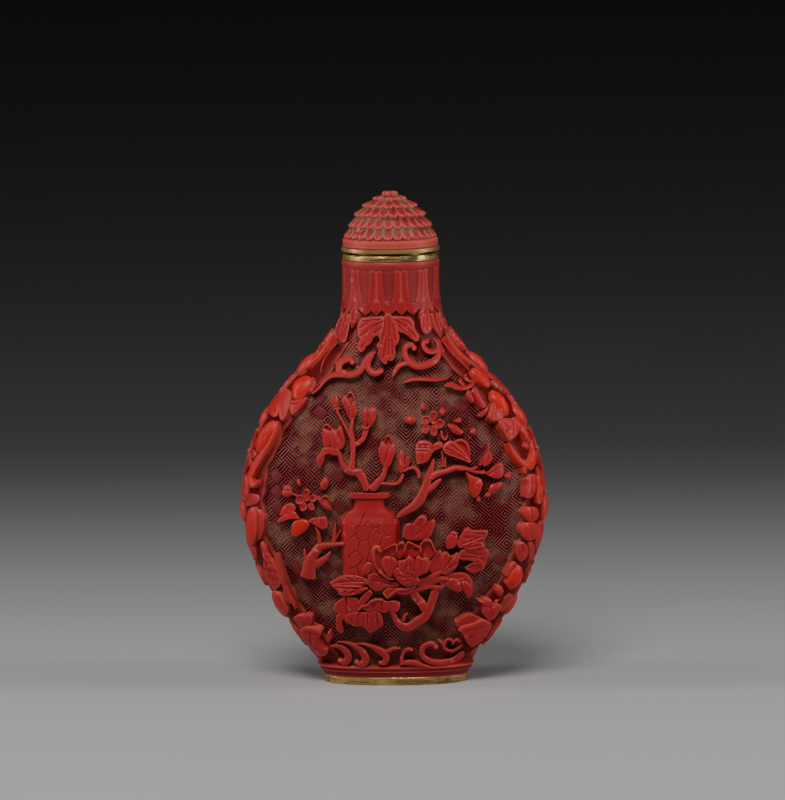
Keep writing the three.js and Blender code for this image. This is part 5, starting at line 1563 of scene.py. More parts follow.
def hanging_leaf(carving, lay):
    """The lobed leaf that hangs from the neck over the picture, and its side petals."""
    face = Drawn(carving, lay)
    face.plate([(-8.6, 58.4), (-8.3, 59.4), (-7.6, 60.4), (-6.9, 60.6), (-6.5, 60), (-6.4, 59), (-6.6, 57.8),
        (-6.9, 56.7), (-7.4, 56.3), (-8.1, 56.7), (-8.5, 57.5)], height=1.2,
        cuts=[[(-7.7, 59.8), (-7.5, 57.2)]])
    face.plate([(7.2, 60.4), (7.8, 60.3), (8.2, 59.4), (8.5, 58.4), (8.5, 57.6), (8.2, 57.1), (7.8, 57.6),
        (7.4, 58.6), (7.1, 59.6)], height=1.2, cuts=[[(7.6, 59.8), (8.1, 58)]])
    face.plate([(5, 59.2), (5, 60.4), (5.6, 60.9), (6.5, 60.8), (7, 60), (7, 59), (6.8, 58.2), (6.2, 57.7),
        (5.5, 57.8), (5.2, 58.4)], height=1.3, cuts=[[(6.3, 60.4), (6.2, 58.4)], [(5.6, 60.3), (5.6, 58.6)]])
    face.plate([(-2.4, 57), (-2.9, 56.1), (-3.6, 55.6), (-3.9, 55), (-4.4, 54.65), (-4.9, 55), (-5, 55.8),
        (-4.8, 56.6), (-4.2, 57.3), (-3.2, 57.6)], height=1.35, cuts=[[(-4.4, 55.3), (-3.4, 57)]])
    face.plate([(-0.8, 60.3), (-1.6, 60.4), (-2.6, 60.3), (-3.6, 60.3), (-4.4, 60.1), (-4.95, 59.4),
        (-5.05, 58.4), (-4.95, 57.4), (-4.3, 56.7), (-3.5, 56.4), (-2.8, 56.8), (-2.2, 57.3), (-1.6, 57.5),
        (-1.1, 58.4), (-0.8, 59.3)], height=1.5, segments=100,
        cuts=[[(-1, 59.6), (-2.6, 58.8), (-4.6, 57.3)], [(-1.4, 60), (-3, 59.6), (-4.7, 58.6)],
        [(-1.2, 58.6), (-2.4, 57.8)], [(-2.4, 59.9), (-4.2, 59.7)]])
    face.plate([(0.5, 60.4), (1.6, 60.5), (2.6, 60.4), (3.4, 60.2), (4, 59.4), (4.1, 58.6), (4.4, 58),
        (4.8, 57.3), (4.6, 56.6), (4.1, 56.55), (3.5, 56.9), (2.9, 57.5), (2.3, 57.8), (1.8, 57.9),
        (1.3, 58.5), (0.8, 59.4)], height=1.5, segments=100, cuts=[[(0.8, 60), (2.6, 58.9), (4.3, 57.1)],
        [(1.6, 60.2), (3, 59.6), (3.8, 58.8)], [(1.4, 59), (2.4, 58.1), (3.6, 57.2)]])
    face.plate([(-1, 59.6), (-1.2, 58.6), (-1.6, 57.4), (-1.4, 56.6), (-1.85, 56.1), (-1.95, 55.6),
        (-1.6, 55.1), (-1.7, 54.4), (-1.35, 53.5), (-0.9, 53), (-0.4, 52.8), (-0.1, 53.4), (0.4, 53.3),
        (0.9, 53.7), (1.1, 54.6), (1, 55.5), (1.5, 56.2), (1.7, 57.2), (1.5, 58), (1.2, 59), (0.7, 60),
        (0.1, 60.8), (-0.5, 60.9), (-0.9, 60.4)], height=1.7, segments=120, rings=11,
        cuts=[[(-0.1, 60.5), (0, 57.5), (-0.1, 54.2)], [(-0.6, 59.6), (-0.8, 57.4), (-1.2, 56)],
        [(0.6, 59.2), (0.9, 57.4), (1.2, 56.6)], [(-0.3, 57), (-0.6, 55.2), (-0.9, 53.8)],
        [(0.5, 56.8), (0.6, 54.4)]])


LAPPET_PLACE, LAPPET_TOP, LAPPET_LENGTH, LAPPET_HALF_WIDTH = 64, 3.2, 7.2, 1.92
LAPPET_COLUMNS, LAPPET_ROWS = 16, 34


def neck_lappets(carving):
    """Pointed lappets round the neck, each a raised frame about a cross-cut middle."""
    count = sizes().lappets
    step = 360 / count
    for k in range(count):
        tip = patch(step * (k + 0.5), 61.4)
        petal(carving, tip, 0, 1.2, 0, -1.4, 2.1, height=0.5, cup=-0.15, blunt=0.85, rows=8, columns=8)
    for k in range(count):
        lay = patch(step * k, LAPPET_PLACE)
        blank = slab(LAPPET_COLUMNS, LAPPET_ROWS)
        x, y, z = blank[0].T
        t, s = (1 - y) / 2, -x
        v = LAPPET_TOP - LAPPET_LENGTH * t
        half = LAPPET_HALF_WIDTH * np.minimum(1, ((1 - t) / 0.36)) ** 0.62 + 0.01
        middle = np.minimum(1.05 * np.sqrt(np.clip(1 - (t / 0.8) ** 2, 0.0004, 1)), 0.6 * half)
        side = np.abs(s)
        across = np.where(side <= 0.5, 2 * side * middle, middle + (2 * side - 1) * (half - middle))
        column = np.rint((x + 1) / 2 * LAPPET_COLUMNS).astype(int)
        row = np.rint((y + 1) / 2 * LAPPET_ROWS).astype(int)
        hatched = (side < 0.45) & (t < 0.74)
        high = np.where(hatched, 0.56 + 0.13 * ((column + row) % 2), 0.76 - 0.22 * side ** 3)
        high = np.where(z > 0.5, high, -SINK)
        # painted shade: the low squares of the cross-cut middle are set lower still, so they take more of the
        # dark red
        tone = np.where(hatched, 3 * (high - 0.5) - 0.1, high)
        carving.add(blank, lay(-np.sign(s) * across, v, high), tone)


def shoulder_leaves(carving):
    """Small leaves that hang on the shoulder at the sides and corners."""
    for turn in (62, 82, 98, 118, 242, 262, 278, 298):
        lay = patch(turn, 58.4)
        leaf(carving, lay, 0, 2.4, 0, -2.6, 2.5, height=0.7, veins=4)
    for turn in (45, 135, 225, 315):
        leaf(carving, patch(turn, 59.6), 0, 1.6, 0, -1.9, 2.0, height=0.9, veins=4)


# Carving down the left and right borders of the face, drawn as it is seen: height, bulge, share of
# the painted orange-red highlight, outline and engraved lines, and for the limbs height, highlight share,
# line and widths.
LEFT_BORDER = [
    (2, 0.7, 0.9, [(-16, 48.4), (-15.9, 49.6), (-15.2, 50.6), (-14.3, 51.2), (-13.4, 51.2), (-12.9, 50.6),
     (-13, 49.6), (-13.5, 48.5), (-14.2, 47.5), (-15, 47), (-15.8, 47.4)], []),
    (1.1, 0.1, 0, [(-13.1, 49.7), (-12.6, 50.5), (-12.1, 50.6), (-11.8, 49.8), (-12, 48.9), (-12.6, 48.3),
     (-13.2, 48.2)], []),
    (1.4, 0.1, 0.1, [(-16.2, 46.2), (-15.6, 46.9), (-14.6, 47), (-13.8, 47.2), (-13.3, 47.5), (-13.6, 46.6),
     (-14.2, 45.8), (-15, 45), (-15.6, 44.5), (-16, 45.2)], [[(-15.7, 46.3), (-14.3, 46.5)]]),
    (1.7, 0.1, 0.2, [(-17.8, 47.8), (-17, 48.6), (-16.2, 48.7), (-15.9, 47.8), (-16, 46.6), (-16.3, 45.4),
     (-16.7, 44.2), (-17.4, 43.7), (-17.6, 44.6), (-17.6, 46), (-18, 46.9)], [[(-17, 48.2), (-16.9, 44.6)]]),
    (1.5, 0.1, 0.4, [(-18.9, 46.6), (-18.2, 47.6), (-17.6, 48.2), (-17.5, 47.2), (-17.7, 45.9), (-18, 44.6),
     (-18.7, 44.3), (-19.3, 45.2)], [[(-18.6, 46.6), (-18.1, 45)]]),
    (2, 0.6, 0.6, [(-21.7, 40.4), (-21.3, 41.6), (-20.4, 42.9), (-19.6, 43.6), (-18.8, 43.8), (-18.6, 42.9),
     (-19, 41.7), (-19.8, 40.4), (-20.8, 39), (-21.5, 38.5), (-21.9, 39.4)],
     [[(-19.2, 43.3), (-20.4, 40.2)]]),
    (1.3, 0.2, 0.1, [(-23.2, 37.6), (-22.8, 38.6), (-22, 39), (-21.4, 38.3), (-22, 37.4)],
     [[(-22.8, 38), (-21.8, 38.2)]]),
    (1.3, 0.1, 0.2, [(-23.8, 33), (-23.5, 34.6), (-23, 35.2), (-22.8, 34), (-23.1, 32.8), (-23.6, 32.3)], []),
    (0.9, 0.1, 0, [(-23.1, 30), (-23.1, 31.4), (-22.4, 31.8), (-21.2, 31.5), (-20.8, 30.8), (-21.4, 29.9),
     (-22.4, 29.7)], []),
    (1.7, 0.2, 0.5, [(-22.7, 29), (-22, 29.5), (-21.6, 28.6), (-21.4, 27.4), (-21.4, 25.8), (-21.6, 24.4),
     (-22, 23.5), (-22.6, 22.8), (-22.6, 24.4), (-22.6, 25.6), (-22.7, 27)], []),
    (1.1, 0.1, 0, [(-21.4, 29.3), (-20.6, 28.9), (-20.1, 28), (-20.1, 26.6), (-20.3, 25.2), (-20.9, 24.2),
     (-21.4, 25), (-21.5, 26.6), (-21.6, 28)], []),
    (1.3, 0.1, 0.05, [(-20.6, 23.8), (-20.1, 23.2), (-19.7, 22.2), (-19.1, 21.2), (-18.5, 20.4),
     (-17.9, 19.4), (-17.5, 18.2), (-17.5, 17), (-18.3, 16), (-19, 16.6), (-19.6, 17.6), (-20, 18.6),
     (-20.2, 20), (-20.1, 21.4), (-20.4, 22.6)], [[(-19.8, 21.4), (-19, 18.6), (-18.2, 16.8)],
     [(-19.9, 20.6), (-18.4, 20.2)], [(-19.8, 19.4), (-18, 19)], [(-19.4, 18.2), (-17.8, 17.8)],
     [(-19.9, 21.6), (-19.2, 21.2)]]),
    (1.7, 0.4, 0.4, [(-18.9, 15.8), (-18, 15.5), (-17.4, 14.6), (-16.9, 13.6), (-16.5, 12.6), (-16.8, 11.8),
     (-17.5, 12.2), (-18.1, 13.2), (-18.6, 14.2), (-19, 15)], []),
    (1.3, 0.2, 0.1, [(-16.8, 16.6), (-16.4, 16), (-16, 15), (-15.5, 13.9), (-16.2, 13.8), (-16.8, 14.8),
     (-17.1, 15.9)], []),
    (1.3, 0.1, 0.1, [(-15.4, 11.6), (-14.6, 12), (-13.8, 11.9), (-13.4, 11), (-13.6, 10.1), (-14.2, 9.9),
     (-14.8, 10.6)], [[(-14.9, 11.4), (-13.9, 10.4)]]),
    (1.1, 0.1, 0, [(-13.3, 12.2), (-12.5, 11.7), (-12.4, 10.6), (-13, 9.9), (-13.6, 10.6)], []),
    (1.5, 0.1, 0.05, [(-14.2, 9.8), (-13.2, 10.1), (-12.2, 9.8), (-11.4, 9.6), (-10.9, 9), (-11.2, 8.2),
     (-11, 7.4), (-10.5, 6.6), (-9.9, 6.2), (-10, 5.6), (-10.6, 5.3), (-11.4, 5.4), (-12.2, 5.8),
     (-12.9, 6.8), (-13.6, 7.8), (-14.2, 8.8)], [[(-13.4, 9.2), (-11.6, 8.8)], [(-13.2, 8), (-11.2, 6.2)],
     [(-12.6, 9.4), (-12.4, 7.6)]]),
    (1.2, 0.2, 0.1, [(-10, 8.9), (-9.7, 9.2), (-9.4, 8.6), (-9.3, 7.9), (-9.7, 7.5), (-10.1, 7.8)], []),
    (1.2, 0.1, 0, [(-12.4, 6.4), (-11.4, 5.6), (-10.9, 4.8), (-11.1, 4), (-11.8, 4.3), (-12.2, 5.2)], []),
]
LEFT_LIMBS = [
    (1.4, 0.4, [(-9, 57.6), (-10.4, 55.6), (-11.8, 53.8), (-13.2, 52.2)], [0.5, 1.3, 1.5, 0.6]),
    (1.6, 0.5, [(-17.9, 43.6), (-18.3, 42), (-19, 40.4), (-20, 38.8), (-21.2, 37.2), (-22, 35.8),
     (-22.4, 34.4), (-22.2, 33.3), (-21.4, 33.3), (-21.1, 34)],
     [0.6, 0.9, 0.9, 1.1, 1.5, 1.7, 1.7, 1.3, 0.9, 0.4]),
    (1.2, 0.05, [(-18.3, 21.8), (-17.7, 19.8), (-17.2, 18.2), (-16.9, 16.8), (-16.3, 15.4), (-15.6, 14.2),
     (-15, 13)], [0.5, 0.9, 0.8, 0.8, 0.9, 0.7, 0.3]),
]
RIGHT_BORDER = [
    (1.9, 0.4, 0.6, [(13.6, 52.4), (14.4, 52.4), (15.3, 51.9), (16, 51.1), (16.5, 50.2), (16.4, 49.4),
     (15.8, 49.3), (15, 49.9), (14.2, 50.8), (13.5, 51.7)], [[(13.8, 52.1), (15.8, 49.9)]]),
    (2.1, 0.7, 1, [(17, 48.9), (17.8, 48.6), (18.6, 47.8), (19.2, 46.8), (19.7, 45.8), (19.6, 44.9),
     (18.9, 44.7), (18.1, 45.4), (17.4, 46.5), (16.8, 47.7)], []),
    (1.2, 0.1, 0.1, [(12.6, 48.6), (12.9, 48.6), (13.3, 47.8), (13.6, 47), (13.5, 46.5), (13, 46.8),
     (12.5, 47.7)], []),
    (1.4, 0.1, 0.1, [(13.6, 48.9), (14, 48.9), (14.6, 47.9), (15.1, 46.9), (15.6, 46.2), (15.3, 45.7),
     (14.8, 45.9), (14.2, 46.8), (13.6, 47.8), (13.3, 48.5)], []),
    (1.5, 0.1, 0.2, [(16.5, 46.3), (17, 46.5), (17.3, 45.7), (18, 45.3), (18.6, 44.6), (18.2, 43.8),
     (17.4, 43.6), (16.5, 43.7), (16, 44.3), (16.2, 45.2)], [[(16.8, 46), (17, 44.2)]]),
    (0.9, 0.1, 0, [(14.2, 44.5), (15, 45.3), (15.8, 46.1), (16.4, 46.7), (16.2, 45.8), (15.7, 44.8),
     (15, 44.2)], []),
    (1.7, 0.1, 0.25, [(17.8, 43.6), (18.6, 44), (19.5, 44), (20.3, 43.5), (20.8, 42.5), (20.8, 41.6),
     (20.2, 40.8), (19.4, 40.4), (18.9, 40.9), (18.4, 41.8), (17.9, 42.7)], [[(19.2, 43.7), (19.3, 41)],
     [(18.6, 43.3), (18.9, 41.6)], [(20, 43.3), (19.9, 41.3)]]),
    (1.8, 0.3, 0.5, [(20, 44.2), (20.9, 44.3), (21.8, 43.4), (22.4, 42.2), (22.8, 41), (22.8, 40.1),
     (22.2, 40.6), (21.6, 41.6), (20.9, 42.6), (20.2, 43.5)], []),
    (1.2, 0.3, 0.2, [(21.6, 39.6), (22, 40.4), (22.6, 40.3), (22.7, 39.5), (22.3, 38.9)], []),
    (1.6, 0.1, 0.3, [(22.1, 34.4), (22.8, 34.9), (23.5, 34.9), (23.9, 34), (23.8, 32.8), (23.4, 31.8),
     (22.8, 31), (22.1, 31.1), (22, 32.2), (22.2, 33.4)], [[(22.9, 34.4), (22.9, 31.6)]]),
    (1.7, 0.1, 0.6, [(23.9, 34.6), (24.5, 34.2), (24.8, 33), (24.7, 31.6), (24.5, 30.4), (24.1, 30.1),
     (23.8, 31.2), (23.9, 32.6)], []),
    (1.6, 0.2, 0.4, [(21.7, 28.8), (22.2, 29.4), (23, 29.6), (23.8, 29.4), (24.2, 28.6), (23.9, 27.6),
     (23.1, 27.1), (22.3, 27.3), (21.8, 28)], [[(23, 29.4), (22.9, 27.4)]]),
    (1.6, 0.2, 0.4, [(21.4, 26.4), (22, 26.9), (22.9, 27), (23.8, 26.9), (24.3, 26.3), (24.2, 25.2),
     (23.6, 24.4), (22.8, 24), (22, 24.2), (21.4, 25.2)], [[(22.6, 26.8), (22.9, 24.4)]]),
    (1.3, 0.1, 0.05, [(20.8, 23.7), (21.6, 23.8), (22.3, 23), (22.3, 21.8), (21.7, 20.9), (20.9, 20.7),
     (20.5, 21.8), (20.5, 22.8)], [[(21.2, 23.3), (21.5, 22.2), (21.1, 21.4)]]),
    (1.3, 0.1, 0.2, [(22.4, 23.8), (23.2, 23.8), (23.3, 22.6), (22.9, 21.2), (22.4, 20.5), (22.4, 22)], []),
    (1.3, 0.1, 0.1, [(18.6, 18.6), (19, 19.3), (19.6, 20.1), (20.3, 20.6), (20.4, 20.1), (19.8, 19.2),
     (19.2, 18.4), (18.8, 18.2)], []),
    (2, 0.6, 0.7, [(19.1, 17), (19.5, 17.9), (20.1, 18.8), (20.8, 19.5), (21.5, 19.7), (21.8, 19),
     (21.7, 18), (21.3, 17), (20.7, 16.3), (20, 15.9), (19.4, 16.2)], []),
    (1.4, 0.3, 0.2, [(17.1, 15.9), (17.6, 16.6), (18.2, 16.5), (18.5, 15.7), (18, 15), (17.4, 15.1)], []),
    (1.5, 0.1, 0.2, [(14.4, 14.3), (14.9, 13.7), (15, 13.2), (15, 12.4), (15.4, 11.7), (16.1, 11.1),
     (16.8, 11.3), (17.3, 11.9), (17.8, 12.7), (18.2, 13.3), (17.6, 13.7), (16.9, 13.7), (16.4, 14.4),
     (15.8, 14.5), (15.1, 14.2)], [[(15.2, 13.3), (16, 13.3), (17.2, 13.5)], [(16.2, 13.2), (16.5, 11.8)]]),
    (1.1, 0.1, 0, [(10.6, 10.8), (11.4, 11.4), (12.2, 11.9), (13.2, 12.2), (14.2, 11.7), (15.2, 11.3),
     (15.9, 11), (15, 10.4), (13.6, 10.2), (12.2, 9.9), (11.1, 10.1)], []),
    (1.6, 0.1, 0.1, [(11.2, 9.3), (11.6, 9.9), (12.2, 10.2), (13, 10.4), (13.6, 10.5), (14.4, 11),
     (15.3, 11.1), (16.2, 10.8), (16.5, 10.2), (16.2, 9.4), (15.7, 8.6), (15.1, 7.9), (14.3, 7.2),
     (13.4, 6.7), (12.8, 7.2), (12.3, 8), (11.9, 8.9)], [[(11.8, 9.4), (14, 9.8), (16, 10.3)],
     [(12.8, 8.4), (15.6, 9.5)], [(13.2, 7.3), (14.8, 8.4)]]),
    (1.2, 0.1, 0, [(17.8, 13.6), (18.8, 14.7), (19.5, 15.4), (20, 15), (19.3, 13.7), (18.5, 12.7),
     (17.9, 12.5)], []),
]
RIGHT_LIMBS = [
    (1.6, 0.7, [(19.3, 40), (19.8, 38.9), (20.4, 37.9), (21.2, 37), (22, 36.5), (22.8, 36.5), (23.3, 37.1),
     (23.4, 38.1), (23.1, 39.3), (22.8, 40.4)], [0.4, 0.8, 1, 1.1, 1.3, 1.4, 1.4, 1.2, 1, 0.6]),
    (1.4, 0.4, [(21.9, 36.6), (21.8, 35.8), (21.9, 35)], [1.2, 1, 0.6]),
    (1.1, 0.1, [(18.2, 15.2), (17.6, 14.5), (17, 14)], [0.4, 0.4, 0.3]),
    (1.4, 0.3, [(9.2, 57.4), (10.4, 55.8), (11.8, 54.2), (13.2, 52.8)], [0.5, 1.2, 1.3, 0.6]),
]
# The column on each narrow side: kind, turn and height of its middle, lean, width, length, share of painted
# orange-red highlight.
SIDE_COLUMN = [
    ("leaf", 90, 55.0, -20, 3.2, 5.0, 0.2), ("fruit", 93, 51.0, 14, 3.8, 4.8, 0.6),
    ("leaf", 84, 47.6, 36, 3.4, 6.0, 0.2), ("leaf", 97, 45.2, -30, 3.4, 6.0, 0.2),
    ("fruit", 88, 42.6, 20, 3.4, 4.2, 0.6), ("flower", 91, 37.2, 0, 6.6, 6.8, 0.2),
    ("leaf", 84, 32.4, 40, 3.4, 5.8, 0.2), ("leaf", 97, 31.6, -36, 3.6, 6.2, 0.2),
    ("fruit", 90, 28.0, -16, 4.0, 5.0, 0.7), ("leaf", 84, 23.4, 24, 3.6, 6.2, 0.2),
    ("leaf", 97, 22.4, -22, 3.6, 6.2, 0.2), ("coil", 90, 17.6, 0, 4.6, 4.6, 0.2),
    ("fruit", 92, 12.6, -10, 3.8, 4.6, 0.6), ("leaf", 86, 8.6, 20, 3.2, 5.2, 0.2),
    ("leaf", 96, 8.0, -24, 3.0, 5.0, 0.2),
]
SIDE_VINE = [(27.4, 56), (26.2, 50), (28.0, 44), (26.4, 38), (28.0, 32), (26.4, 26), (27.8, 20),
             (26.4, 14), (27.2, 8)]


def border_motif(carving, row, start):
    """One form of the column along the middle of a narrow side."""
    kind, turn, z, lean, width, length, painted_highlight_share = row
    # the last column is the share of painted orange-red highlight
    lay = patch(start + turn, z)
    angle = math.radians(lean)
    u, v = -math.sin(angle) * length / 2, math.cos(angle) * length / 2
    high = 1.4
    if kind == "fruit":
        boss(carving, lay, 0, 0, width, length, lean=lean, height=high + 0.25, tint=painted_highlight_share,
             cleft=0.12, segments=20, rings=12)
    elif kind == "leaf":
        leaf(carving, lay, u, v, -u, -v, width, bend=0.1, height=high - 0.05, veins=5,
             tint=painted_highlight_share, lobes=0.05)
    elif kind == "flower":
        for k in range(4):
            around = math.radians(45 + 90 * k)
            petal(carving, lay, 0, 0, width / 2 * math.cos(around) * 1.25,
                  length / 2 * math.sin(around) * 1.25, 0.46 * length, height=high, cup=0.35,
                  tint=painted_highlight_share, rows=10, columns=10)
        boss(carving, lay, 0, 0, 1.2, 1.2, height=high + 0.1, tint=painted_highlight_share, segments=12, rings=8)
    else:
        scroll(carving, lay, coil(0, 0, width / 2, 120, -430, 0.75), 0.85, 0.5, height=high,
               tint=painted_highlight_share, rows=60, bead=0.8)


def border_motifs(carving):
    """The borders of the face and the side columns, and all of them again half a turn on."""
    plates = [
        (on_side(outline, height - BORDER_RIM),
         [on_side(cut, height - BORDER_RIM) for cut in cuts], height, bulge, tint)
        for height, bulge, tint, outline, cuts in LEFT_BORDER + RIGHT_BORDER
    ]
    limbs = [(on_side(places, height - BORDER_RIM), widths, height, tint)
             for height, tint, places, widths in LEFT_LIMBS + RIGHT_LIMBS]
    for start in (0, 180):
        lay = around(start)
        for outline, cuts, height, bulge, tint in plates:
            plate(carving, lay, outline, height, bulge=bulge, tint=tint, cuts=cuts, segments=60, rings=8)
        for places, widths, height, tint in limbs:
            limb(carving, lay, places, widths, height, tint)
        limb(carving, lay, SIDE_VINE, [1.1, 0.9, 1.1, 1.0], height=1.0)
        for row in SIDE_COLUMN:
            border_motif(carving, row, start)


# ---- The stopper and the brass ----

BUTTON_TOP = 79.4
# Each tier of scales: height of the tips and of the upper ends, radius at both, and how many.
TIERS = [
    (71.95, 74.3, 7.3, 6.0, 28), (73.7, 76.0, 6.6, 4.8, 26), (75.5, 77.3, 5.7, 3.5, 21),
    (76.9, 78.3, 4.4, 2.1, 16), (78.05, 78.9, 2.7, 0.8, 11),
]


def stopper_forms(carving):
    """A dome over a plain band, covered in tiers of overlapping scales up to a button."""
    band = turned([(0, 70.6), (7.5, 70.6), (7.66, 70.72), (7.7, 71.2), (7.66, 71.75), (7.45, 71.9),
                   (6.9, 72.0), (0, 72.0)], 128)
    carving.add(band, band[0], 0.4)
    core = turned([(0, 71.6), (7.0, 71.6), (7.0, 71.8), (6.7, 72.6), (6.1, 73.6), (5.3, 74.9),
                   (4.2, 76.3), (3.0, 77.4), (1.8, 78.2), (1.0, 78.6), (0, 78.7)], 96)
    # painted shade: the core between the scales is set low so it takes the dark red
    carving.add(core, core[0], -0.3)

    for low, high, tip_radius, top_radius, count in TIERS:
        for k in range(count):
            angle = 2 * PI * (k + 0.5 * (count % 2)) / count
            blank = slab(8, 10)
            x, y, z = blank[0].T
            t = ((y + 1) / 2) ** 1.5
            width = PI * (tip_radius + (top_radius - tip_radius) * t) / count * 1.04
            shape = np.where(t < 0.4, np.sqrt(np.maximum(0, 1 - ((0.4 - t) / 0.4) ** 2)), 1) + 0.01
            side = x * width * shape
            radius = tip_radius + (top_radius - tip_radius) * t - 0.1 * t * (1 - t)
            up = low + (high - low) * t
            crown = 0.38 - 0.36 * t - 0.22 * np.abs(x) ** 3 - 0.1 * smooth(0.15, 0, t)
            lift = np.where(z > 0.5, crown, -0.75)
            slope = math.atan2(tip_radius - top_radius, high - low)
            radius = radius + lift * math.cos(slope) - side ** 2 / (2 * np.maximum(radius, 1.5))
            up = up + lift * math.sin(slope)
            px, py = side, -radius
            places = np.stack([px * math.cos(angle) - py * math.sin(angle),
                               px * math.sin(angle) + py * math.cos(angle), up], axis=1)
            places[:, 2] = np.minimum(places[:, 2], BUTTON_TOP - 0.1)
            # painted shade: each scale darkens towards its upper end, where it runs under the tier above, and
            # its skirt takes the darkest red
            carving.add(blank, places, np.where(z > 0.5, 1.6 * crown - 0.1 - 0.5 * t, -0.6))
    button = turned([(0, 78.5), (1.15, 78.5), (1.2, 78.9), (1.15, 79.2), (0.95, 79.36),
                     (0.6, BUTTON_TOP), (0, BUTTON_TOP)], 32)
    p = button[0].copy()
    around = np.arctan2(p[:, 1], p[:, 0])
    p[:, :2] *= (1 + 0.1 * np.cos(7 * around))[:, None]
    carving.add(button, p, 0.4)


def lip_points():
    """The brass ring on the mouth."""
    return turned([(4.0, 68.5), (7.6, 68.5), (7.74, 68.62), (7.75, 69.0), (7.72, 69.36),
                   (7.6, 69.5), (4.15, 69.5), (4.0, 69.4), (4.0, 68.5)], 128)


def foot_points():
    """The oval brass foot, dished underneath."""
    inner = 1 - 1.7 / FOOT_HALF_DEPTH
    made = turned([(0, 0.5), (inner - 0.02, 0.5), (inner, 0.45), (inner + 0.01, 0.04), (inner + 0.03, 0),
                   (0.975, 0), (0.995, 0.1), (1.0, 0.3), (0.994, 0.7), (1.0, 0.95), (0.998, 1.2),
                   (0.985, 1.3), (0, 1.3)], 160)
    return to_oval(made[0], FOOT_HALF_WIDTH, FOOT_HALF_DEPTH, BODY_SQUARENESS), made[1], made[2]


def mount_points():
    """The brass mount under the dome, with its plug."""
    return turned([(0, 63.8), (3.4, 63.8), (3.6, 64.0), (3.6, 69.5), (6.4, 69.5), (6.4, 69.85),
                   (7.8, 69.85), (7.94, 69.95), (7.95, 70.2), (7.92, 70.5), (7.8, 70.6), (0, 70.6)], 128)


# ---- The stage, in metres ----

FLOOR_SIZE, FLOOR_BACK, FLOOR_BEND = 6, 1.6, 1.2
# The floor's colour near the bottle, and its colour far behind, darkened as painted falloff of the light.
NEAR_TONE = ((0.415, 0.415, 0.42), (0.43, 0.43, 0.435))
FAR_PAINTED_SHADE = ((0.075, 0.075, 0.078), (0.08, 0.08, 0.083))
LAMP_AIM = Vector((0, 0, 0.042))
# name, place, watts, width, height and colour
LAMPS = (
    ("key", (-0.06, -0.45, 0.58), 4.2, 0.34, 0.26, (1, 0.98, 0.95)),
    ("right strip", (0.46, -0.06, 0.20), 1.1, 0.10, 0.40, (1, 0.99, 0.97)),
    ("left strip", (-0.46, -0.04, 0.22), 0.9, 0.10, 0.40, (1, 0.99, 0.97)),
)


def floor():
    """A pale floor that rises in a curve far behind, its colour darkened away from the bottle as painted
    falloff of the light.
    """
    deselect()
    bpy.ops.mesh.primitive_plane_add(size=FLOOR_SIZE, location=(0, FLOOR_BACK, 0))
    sheet = bpy.context.object
    bpy.ops.object.transform_apply(location=True)
    bpy.ops.object.mode_set(mode="EDIT")
    bpy.ops.mesh.select_mode(type="EDGE")
    bpy.ops.mesh.select_all(action="DESELECT")
    bpy.ops.object.mode_set(mode="OBJECT")
    for side in sheet.data.edges:
        side.select = all(sheet.data.vertices[i].co.y > 4 for i in side.vertices)
    bpy.ops.object.mode_set(mode="EDIT")
    bpy.ops.mesh.extrude_region_move(TRANSFORM_OT_translate={"value": (0, 0.2, 3)})
    bpy.ops.mesh.select_all(action="SELECT")
    bpy.ops.mesh.bevel(offset=FLOOR_BEND, segments=12, affect="EDGES")
    bpy.ops.object.mode_set(mode="OBJECT")
    bpy.ops.object.shade_smooth()
    sheet.name = "floor"
    material, tree, shader = start_finish("Pale paper")
    behind = tree.nodes.new("ShaderNodeSeparateXYZ")
    tree.links.new(tree.nodes.new("ShaderNodeTexCoord").outputs["Object"], behind.inputs[0])
    # painted shade: the floor darkens towards the back as if the light fell off there
    dark = mix(tree, noise(tree, 30, 2), *FAR_PAINTED_SHADE)
    tone = mix(tree, noise(tree, 30, 2), *NEAR_TONE)
    tone = mix(tree, spread(tree, behind.outputs["Y"], -0.06, 0.34), tone, dark)
    tree.links.new(tone, shader.inputs["Base Color"])
    shader.inputs["Roughness"].default_value = 0.75
    sheet.data.materials.append(material)


def lights():
    """A soft key light over the front, a strip at each side and a dim room."""
    for name, place_at, power, wide, tall, colour in LAMPS:
        data = bpy.data.lights.new(name, "AREA")
        data.shape, data.size, data.size_y = "RECTANGLE", wide, tall
        data.energy, data.color = power, colour
        lamp = bpy.data.objects.new(name, data)
        bpy.context.scene.collection.objects.link(lamp)
        lamp.location = place_at
        lamp.rotation_euler = (LAMP_AIM - Vector(place_at)).to_track_quat("-Z", "Y").to_euler()
    world = bpy.data.worlds.new("Studio")
    bpy.context.scene.world = world
    world.use_nodes = True
    background = world.node_tree.nodes["Background"]
    background.inputs["Color"].default_value = (0.9, 0.93, 1, 1)
    background.inputs["Strength"].default_value = 0.05


def camera():
    """The camera that the drawn places are seen from."""
    data = bpy.data.cameras.new("Camera")
    eye = bpy.data.objects.new("Camera", data)
    bpy.context.scene.collection.objects.link(eye)
    data.lens, data.sensor_width = 281, 36
    data.clip_start, data.clip_end = 0.05, 20
    target = Vector((0, 0, VIEW_HEIGHT * MM))
    ahead = Vector(view_directions()[2])
    eye.location = target - VIEW_DISTANCE * MM * ahead
    look = ahead.to_track_quat("-Z", "Y").to_matrix()
    eye.rotation_euler = (look @ Matrix.Rotation(VIEW_ROLL, 3, "Z")).to_euler()
    bpy.context.scene.camera = eye


# ---- The steps, one for each group of pieces ----

def on_front(name, forms, finish_of="lacquer"):
    """Carves one piece of the picture on the front."""
    carving = Carving()
    forms(carving, front)
    return carving.finish(name, finish_of)


